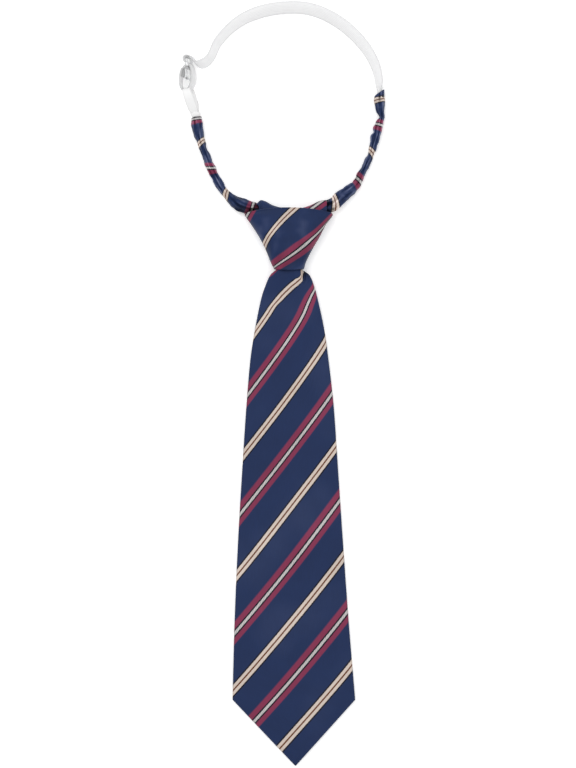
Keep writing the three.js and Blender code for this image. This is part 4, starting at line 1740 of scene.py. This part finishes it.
@dataclass
class ElasticStrap:
    """The flat elastic: out of the right neckband, round the neck, through the slider, round
    the tab and back to the slider's middle bar.

    Attributes:
        arc: The round stretch, as angles and radii about its centre.
        start: The stretch inside the right neckband, before the arc.
        loop: The stretch after the arc.
        end: The thinned end over the middle bar.
    """

    arc: Sequence[ArcRow] = ELASTIC_ARC_ROWS
    start: Sequence[StrapRow] = ELASTIC_RIGHT_END_ROWS
    loop: Sequence[StrapRow] = ELASTIC_LOOP_ROWS
    end: Sequence[StrapRow] = ELASTIC_END_ROWS
    end_step: float = 0.4
    end_thickness: float = 0.6
    centre: tuple[float, float] = (-1.7, 78.1)
    arc_step: float = 4.0
    row_step: float = 1.1
    thickness: float = 0.9

    def rows(self) -> list[StrapRow]:
        """Every row along the strap, the round stretch among them."""
        fine = Spline(self.arc).at(np.linspace(0, len(self.arc) - 1, 400))
        angles = np.arange(self.arc[0].angle, self.arc[-1].angle + 0.1, self.arc_step)
        read = {name: np.interp(angles, fine["angle"], fine[name]) for name in ArcRow._fields}
        turn = np.radians(angles)
        round_rows = [
            StrapRow(
                self.centre[0] + radius * math.cos(a), self.centre[1] + radius * math.sin(a), 0,
                spread * math.cos(a), spread * math.sin(a), width,
            )
            for a, radius, spread, width in zip(turn, read["radius"], read["spread"], read["width"])
        ]
        return [*self.start, *round_rows, *self.loop]

    def edgewise(self, rows: Sequence[StrapRow], step: float) -> tuple[np.ndarray, ...]:
        """Reads a stretch of strap that stands on its edge.

        Args:
            rows: Its rows.
            step: Length of a step along it.

        Returns:
            Its lower edge, the way from there to its upper edge, and its width.
        """
        size = Spline(rows).spaced(step, ("x", "y"))
        lean_x, lean_y, width = size["lean_x"], size["lean_y"], size["width"]
        lean = np.stack([lean_x, lean_y, np.sqrt(width ** 2 - lean_x ** 2 - lean_y ** 2)], axis=1)
        low = np.stack([size["x"], size["y"], np.maximum(size["lift"], 0)], axis=1)
        return low, lean, width

    def build(self) -> list[Piece]:
        """Makes the strap, and its thinned end that is folded over the slider's middle bar."""
        low, lean, width = self.edgewise(self.rows(), self.row_step)
        low[:, 2] += np.abs(facing(low, lean)[:, 2]) * self.thickness / 2
        across = lean / width[:, None]
        braid = strap("elastic_strap_braid", low + lean / 2, across, width, self.thickness)
        low, lean, width = self.edgewise(self.end, self.end_step)
        across = lean / width[:, None]
        end = strap("elastic_end_fold", low + lean / 2, across, width, self.end_thickness)
        return [braid, end]

    def dress(self, pieces: list[Piece], finishes: Finishes) -> None:
        """Gives the strap and its folded end their finish."""
        for piece, node in zip(pieces, ("elastic_strap", "")):
            dress(piece, finishes.elastic, node)


TAB_ROWS = table(
    TabRow,
    (-52.8, 67.2, 1.9, 2.5),
    (-53.0, 71.0, 1.9, 2.6),
    (-53.7, 73.8, 1.3, 4.2),
    (-54.4, 77.0, 0.5, 5.4),
    (-55.5, 80.8, 0.4, 5.4),
    (-56.3, 83.4, 0.4, 5.3),
    (-56.8, 85.1, 0.9, 5.0),
    (-57.3, 86.1, 2.5, 4.8),
    (-57.9, 86.3, 4.4, 4.7),
    (-58.6, 86.1, 6.4, 4.6),
    (-58.7, 85.2, 8.0, 4.7),
    (-58.1, 83.4, 8.6, 5.0),
    (-57.0, 80.4, 8.1, 5.6),
    (-55.8, 77.0, 6.5, 5.6),
    (-54.6, 73.8, 4.8, 5.0),
    (-53.3, 71.6, 3.3, 2.6),
    (-52.8, 67.2, 3.1, 2.5),
)


@dataclass
class Tab:
    """The ribbon folded round the elastic's loop, and the white tape at the tube's mouth.

    Attributes:
        axis: Direction across the ribbon.
        tape_y: Where the flattened ring of tape starts and ends.
        tape_width: Its width there.
        tape_depth: Its depth there.
        tape_bow: How far its middle stands past its sides.
        tape_x: X of its middle at tape_start, from where it leans over by tape_lean.
    """

    rows: Sequence[TabRow] = TAB_ROWS
    axis: Place = (0.972, 0.235, 0)
    row_step: float = 0.6
    thickness: float = 0.6
    tape_y: tuple[float, float] = (69.6, 72.7)
    tape_width: tuple[float, float] = (4.0, 6.6)
    tape_depth: tuple[float, float] = (3.6, 4.3)
    tape_bow: float = 0.5
    tape_x: float = -53.2
    tape_start: float = 70.0
    tape_lean: float = -0.22
    tape_lift: float = 0.4
    tape_rows: int = 7
    tape_thickness: float = 0.3

    def build(self) -> list[Piece]:
        """Makes the ribbon and the tape."""
        return [self.build_ribbon(), self.build_tape()]

    def build_ribbon(self) -> Piece:
        """Makes the ribbon."""
        size = Spline(self.rows).spaced(self.row_step, ("x", "y", "z"))
        middle = np.stack([size["x"], size["y"], size["z"]], axis=1)
        across = np.array(self.axis) / np.linalg.norm(self.axis)
        across = np.repeat(across[None, :], len(middle), axis=0)
        return strap("tab_ribbon", middle, across, size["width"], self.thickness)

    def build_tape(self) -> Piece:
        """Makes the flattened ring of white tape that stands out of the tube's mouth."""
        y, width, depth = (
            np.linspace(*ends, self.tape_rows)
            for ends in (self.tape_y, self.tape_width, self.tape_depth)
        )
        across, up = ring(width, depth, squareness=2.4, dome=24, foot=4, floor=8)
        bow = self.tape_bow * (1 - (2 * across / width[:, None]) ** 2)
        x = self.tape_x + self.tape_lean * (y - self.tape_start)[:, None] + across
        points = np.stack([x, y[:, None] + bow, up + self.tape_lift], axis=-1)
        weave = np.stack([lengths(points, 1), lengths(points, 0)], axis=-1)
        zero = np.zeros_like(x)
        grid = ClothGrid(points, zero, weave, zero, closed=True, flipped=True)
        return grid.build("mouth_tape", self.tape_thickness)

    def dress(self, pieces: list[Piece], finishes: Finishes) -> None:
        """Gives the ribbon and the tape their finish."""
        for piece, node in zip(pieces, ("tab", "")):
            dress(piece, finishes.ribbon, node)


@dataclass
class Slider:
    """The clear length adjuster: a plate with a slot each side of its middle bar, on its long
    edge and leaning, with rounded bars.

    Attributes:
        bar: Width of each of its three bars.
        rail: Width of its two long sides.
        foot_x: X of the middle of its lower edge, and foot_y its Y.
        lean_x: How far it leans along X, for each millimetre up its face.
    """

    length: float = 13.5
    width: float = 10.8
    thickness: float = 1.4
    bar: float = 1.4
    rail: float = 1.05
    corner: float = 1.6
    slot_corner: float = 0.7
    corner_steps: int = 5
    rounding: float = 0.42
    foot_x: float = -55.9
    foot_y: float = 97.6
    lean_x: float = -0.25

    def rounded(self, centre: float, length: float, width: float, corner: float) -> list[Vector]:
        """Points round a rounded rectangle that lies along X.

        Args:
            centre: Its middle's X.
            length: Along X.
            width: Along Y.
            corner: Radius of its corners.

        Returns:
            The points in millimetres.
        """
        points = []
        for quarter, (side_x, side_y) in enumerate(((1, 1), (-1, 1), (-1, -1), (1, -1))):
            for step in range(self.corner_steps + 1):
                angle = math.pi / 2 * (quarter + step / self.corner_steps)
                points.append(Vector((
                    centre + side_x * (length / 2 - corner) + corner * math.cos(angle),
                    side_y * (width / 2 - corner) + corner * math.sin(angle), 0,
                )))
        return points

    def build(self) -> list[Piece]:
        """Makes the plate, rounds its bars and stands it in its place."""
        curve = bpy.data.curves.new("slider_outline", "CURVE")
        curve.dimensions = "2D"
        curve.fill_mode = "BOTH"
        inset = self.rounding
        slot = self.length / 2 - 1.5 * self.bar
        slot_middle = (self.bar + slot) / 2
        slot_width = self.width - 2 * self.rail
        outlines = [
            self.rounded(0, self.length - 2 * inset, self.width - 2 * inset, self.corner - inset),
        ]
        for side in (-1, 1):
            outlines.append(self.rounded(
                side * slot_middle, slot + 2 * inset, slot_width + 2 * inset,
                self.slot_corner + inset,
            ))
        for outline in outlines:
            spline = curve.splines.new("POLY")
            spline.points.add(len(outline) - 1)
            for point, place in zip(spline.points, outline):
                point.co = (*(place * MM), 1)
            spline.use_cyclic_u = True
        curve.extrude = (self.thickness / 2 - self.rounding) * MM
        curve.bevel_depth = self.rounding * MM
        curve.bevel_resolution = 3
        mesh = plain_mesh(add_object("slider_drawn", curve))
        up_bar = Vector((self.lean_x, 0, math.sqrt(1 - self.lean_x ** 2)))
        along = Vector((0, 1, 0))
        face = along.cross(up_bar)
        foot = Vector((self.foot_x, self.foot_y, abs(face.z) * self.thickness / 2))
        middle = foot + up_bar * self.width / 2
        for vertex in mesh.vertices:
            x, y, z = vertex.co / MM
            vertex.co = (middle + along * x + up_bar * y + face * z) * MM
        piece = add_object("slider_plate", mesh)
        face_outwards(piece, merge=0.01)
        return [piece]

    def dress(self, pieces: list[Piece], finishes: Finishes) -> None:
        """Gives the plate its finish."""
        dress(pieces[0], finishes.plastic, "slider")


@dataclass
class StitchRow:
    """A row of stitches along a line, made by Geometry Nodes.

    Attributes:
        name: Name of the piece.
        line: Places along the row in millimetres.
        pitch: From one stitch to the next.
        length: Length of a stitch.
        thickness: Thickness of the thread.
        slant: Turn of each stitch from the row, in degrees.
        wander: How far a stitch's turn strays either way, in radians.
        seed: Fixes how the turns stray.
    """

    name: str
    line: Sequence[Sequence[float]]
    pitch: float
    length: float
    thickness: float
    slant: float = 0.0
    wander: float = 0.12
    seed: int = 7

    def tree(self) -> bpy.types.NodeTree:
        """Builds the node tree, with its sizes as named inputs."""
        tree = bpy.data.node_groups.new("stitch_row", "GeometryNodeTree")
        sockets = (
            ("Geometry", "INPUT", "Geometry"), ("Pitch", "INPUT", "Float"),
            ("Length", "INPUT", "Float"), ("Thickness", "INPUT", "Float"),
            ("Slant", "INPUT", "Float"), ("Thread", "INPUT", "Material"),
            ("Geometry", "OUTPUT", "Geometry"),
        )
        for name, side, kind in sockets:
            tree.interface.new_socket(name, in_out=side, socket_type="NodeSocket" + kind)
        kinds = {
            "inputs": "NodeGroupInput", "curve": "GeometryNodeMeshToCurve",
            "spread": "GeometryNodeResampleCurve", "tangent": "GeometryNodeInputTangent",
            "aim": "FunctionNodeAlignRotationToVector", "stray": "FunctionNodeRandomValue",
            "slant": "ShaderNodeMath", "turn": "ShaderNodeCombineXYZ",
            "euler": "FunctionNodeEulerToRotation", "spin": "FunctionNodeRotateRotation",
            "bead": "GeometryNodeMeshUVSphere", "sizes": "ShaderNodeCombineXYZ",
            "stitch": "GeometryNodeTransform", "place": "GeometryNodeInstanceOnPoints",
            "real": "GeometryNodeRealizeInstances", "paint": "GeometryNodeSetMaterial",
            "outputs": "NodeGroupOutput",
        }
        node = {name: tree.nodes.new(kind) for name, kind in kinds.items()}
        node["spread"].mode = "LENGTH"
        node["aim"].axis = "Y"
        node["stray"].data_type = "FLOAT"
        node["slant"].operation = "ADD"
        node["spin"].rotation_space = "LOCAL"
        # A Random Value node has sockets of one name for each type, so those go by number
        low, high, result = 2, 3, 1
        values = (
            ("stray", low, -self.wander), ("stray", high, self.wander),
            ("stray", "Seed", self.seed), ("bead", "Segments", 8), ("bead", "Rings", 6),
            ("bead", "Radius", 0.5),
        )
        for name, socket, value in values:
            node[name].inputs[socket].default_value = value
        links = (
            ("inputs", "Geometry", "curve", "Mesh"), ("curve", "Curve", "spread", "Curve"),
            ("inputs", "Pitch", "spread", "Length"), ("spread", "Curve", "place", "Points"),
            ("tangent", "Tangent", "aim", "Vector"), ("inputs", "Slant", "slant", 0),
            ("stray", result, "slant", 1), ("slant", 0, "turn", "Z"),
            ("turn", 0, "euler", "Euler"), ("aim", "Rotation", "spin", "Rotation"),
            ("euler", "Rotation", "spin", "Rotate By"), ("spin", "Rotation", "place", "Rotation"),
            ("inputs", "Thickness", "sizes", "X"), ("inputs", "Length", "sizes", "Y"),
            ("inputs", "Thickness", "sizes", "Z"), ("bead", "Mesh", "stitch", "Geometry"),
            ("sizes", 0, "stitch", "Scale"), ("stitch", "Geometry", "place", "Instance"),
            ("place", "Instances", "real", "Geometry"), ("real", "Geometry", "paint", "Geometry"),
            ("inputs", "Thread", "paint", "Material"), ("paint", "Geometry", "outputs", "Geometry"),
        )
        for source, output, target, socket in links:
            tree.links.new(node[source].outputs[output], node[target].inputs[socket])
        return tree

    def build(self, thread: Material) -> Piece:
        """Makes the row a plain mesh.

        Args:
            thread: The thread's finish.

        Returns:
            The object.
        """
        places = [Vector(point) * MM for point in self.line]
        guide_mesh = bpy.data.meshes.new(self.name + "_line")
        edges = [(i, i + 1) for i in range(len(places) - 1)]
        guide_mesh.from_pydata(places, edges, [])
        guide = add_object(self.name + "_line", guide_mesh)
        modifier = guide.modifiers.new("stitches", "NODES")
        modifier.node_group = self.tree()
        values = {
            "Pitch": self.pitch * MM, "Length": self.length * MM,
            "Thickness": self.thickness * MM, "Slant": math.radians(self.slant), "Thread": thread,
        }
        for item in modifier.node_group.interface.items_tree:
            if item.in_out == "INPUT" and item.name in values:
                modifier[item.identifier] = values[item.name]
        return add_object(self.name, plain_mesh(guide))


@dataclass
class Studio:
    """A white paper floor, soft light all round and a camera straight above.

    Attributes:
        view_x: X of the place that the camera looks at, and view_y its Y.
        height: Height of the camera.
        clip: Nearest and furthest distance that it sees, in metres.
        ambient: Strength of the light from all round.
    """

    view_x: float = -0.57
    view_y: float = -82.7
    height: float = 1224.4
    lens: float = 100.0
    floor_size: float = 6000.0
    floor_drop: float = 0.35
    sensor: float = 36.0
    clip: tuple[float, float] = (0.05, 20.0)
    ambient: float = 0.70
    key_place: Place = (-500, 600, 1500)
    key_size: float = 1300.0
    key_power: float = 11.0
    fill_place: Place = (900, -500, 1400)
    fill_size: float = 1200.0
    fill_power: float = 4.4

    def build(self) -> None:
        """Makes the floor, the lights and the camera."""
        self.build_floor()
        self.build_light("key_light", self.key_place, self.key_size, self.key_power)
        self.build_light("fill_light", self.fill_place, self.fill_size, self.fill_power)
        world = bpy.data.worlds.new("soft_room")
        world.use_nodes = True
        background = world.node_tree.nodes["Background"]
        background.inputs["Color"].default_value = (1, 1, 1, 1)
        background.inputs["Strength"].default_value = self.ambient
        bpy.context.scene.world = world
        camera_data = bpy.data.cameras.new("camera")
        camera_data.lens = self.lens
        camera_data.sensor_width = self.sensor
        camera_data.clip_start, camera_data.clip_end = self.clip
        camera = add_object("camera", camera_data)
        camera.location = (self.view_x * MM, self.view_y * MM, self.height * MM)
        bpy.context.scene.camera = camera
        bpy.context.scene.view_settings.view_transform = "Standard"

    def build_floor(self) -> None:
        """Makes the floor, a hair below the tie's stitches."""
        half = self.floor_size / 2 * MM
        level = -self.floor_drop * MM
        mesh = bpy.data.meshes.new("backdrop")
        corners = [
            (-half, -half, level), (half, -half, level), (half, half, level), (-half, half, level),
        ]
        mesh.from_pydata(corners, [], [(0, 1, 2, 3)])
        mesh.materials.append(PaperFloor().material())
        add_object("backdrop", mesh)

    def build_light(self, name: str, place: Place, size: float, power: float) -> None:
        """Makes one large soft light that faces the tie.

        Args:
            name: Name of the light.
            place: Where it hangs, in millimetres.
            size: Width of its face.
            power: Its power in watts.
        """
        data = bpy.data.lights.new(name, "AREA")
        data.size = size * MM
        data.energy = power
        lamp = add_object(name, data)
        lamp.location = Vector(place) * MM
        aim = Vector((self.view_x, self.view_y, 0)) - Vector(place)
        lamp.rotation_euler = aim.to_track_quat("-Z", "Y").to_euler()


@dataclass
class Stitching:
    """Every row of stitches: up the blade's back, along both neckbands and across the tab.

    Attributes:
        finishes: The tie's finishes, for the threads.
        lift: How far a seam's middle lies above the underside of its cloth.
        seam_top: The blade's seam starts at this y.
        band_step: From one place of a neckband's row to the next.
        band_margin: How many of these places are left out at each end.
        tab_places: Middle of each row across the tab.
        tab_reach: How far it reaches each way.
    """

    finishes: Finishes
    lift: float = 0.04
    seam_top: float = -22.0
    band_step: float = 0.7
    band_margin: int = 3
    tab_places: Sequence[Place] = ((-54.8, 74.4, 5.4), (-55.2, 75.5, 6.0))
    tab_reach: float = 2.1

    def seam(self) -> StitchRow:
        """The row up the middle of the blade's back."""
        blade = Blade()
        size = blade.sections()
        middle = (size["left"] + size["right"]) / 2
        line = [
            (x, y, base + self.lift) for x, y, base in zip(middle, size["y"], size["base"])
            if blade.vent_top < y < self.seam_top
        ]
        return StitchRow(
            "blade_seam_stitches", line, pitch=6.0, length=2.6, thickness=0.3, slant=18,
        )

    def along_band(self, side: str, rows: Sequence[BandRow]) -> StitchRow:
        """The row under a neckband.

        Args:
            side: left or right.
            rows: The tube's sections.

        Returns:
            The row.
        """
        band = Spline(rows).spaced(self.band_step, ("x", "y"))
        places = zip(band["x"], band["y"], band["base"])
        line = [(x, y, max(base, 0) + self.lift) for x, y, base in places]
        line = line[self.band_margin:-self.band_margin]
        return StitchRow(
            f"neckband_{side}_stitches", line, pitch=2.4, length=1.6, thickness=0.28, slant=8,
        )

    def across_tab(self, number: int) -> StitchRow:
        """One of the rows across the tab.

        Args:
            number: Its number, from 0.

        Returns:
            The row.
        """
        x, y, z = self.tab_places[number]
        line = [
            (x + way * Tab.axis[0], y + way * Tab.axis[1], z)
            for way in (-self.tab_reach, 0, self.tab_reach)
        ]
        return StitchRow(
            f"tab_stitches_{number}", line, pitch=1.0, length=0.75, thickness=0.24,
        )

    def build(self) -> list[Piece]:
        """Makes every row, the navy ones first."""
        navy = [
            self.seam(), self.along_band("left", LEFT_BAND_ROWS),
            self.along_band("right", RIGHT_BAND_ROWS),
        ]
        white = [self.across_tab(number) for number in range(len(self.tab_places))]
        pieces = [row.build(self.finishes.navy_thread) for row in navy]
        return pieces + [row.build(self.finishes.white_thread) for row in white]

    def dress(self, pieces: list[Piece], finishes: Finishes) -> None:
        """Gives each row its thread.

        Args:
            pieces: The rows.
            finishes: The tie's finishes.
        """
        for piece in pieces:
            if piece.name.startswith("tab"):
                dress(piece, finishes.white_thread)
            else:
                dress(piece, finishes.navy_thread)


class Assembly(Protocol):
    """A group of pieces that are built together and then given their finishes."""

    def build(self) -> list[Piece]:
        """Makes the pieces."""

    def dress(self, pieces: list[Piece], finishes: Finishes) -> None:
        """Gives the pieces their finishes and their places on the tie."""


def main() -> None:
    """Builds the tie and its studio."""
    logging.basicConfig(level=logging.INFO, format="%(name)s: %(message)s")
    Studio().build()
    finishes = Finishes.make()
    left = Neckband(
        "left", LEFT_BAND_ROWS, flat=(0.017, 0.085), seed=1.3, under_reach=15.5, mouth_slant=0.3,
        painted_shadow_reach=3.4, bumps=LEFT_BUMPS,
    )
    right = Neckband(
        "right", RIGHT_BAND_ROWS, flat=(0.017, 0.098), seed=4.1, under_reach=6.0, mouth_slant=1.9,
        painted_shadow_reach=5.4, bumps=RIGHT_BUMPS,
    )
    assemblies: list[Assembly] = [
        Blade(), KnotWrap(), KnotCollar(), left, right, ElasticStrap(), Tab(), Slider(),
        Stitching(finishes),
    ]
    for assembly in assemblies:
        pieces = assembly.build()
        assembly.dress(pieces, finishes)
        for piece in pieces:
            log.info("%s: %d faces", piece.name, len(piece.data.polygons))


if __name__ == "__main__":
    main()
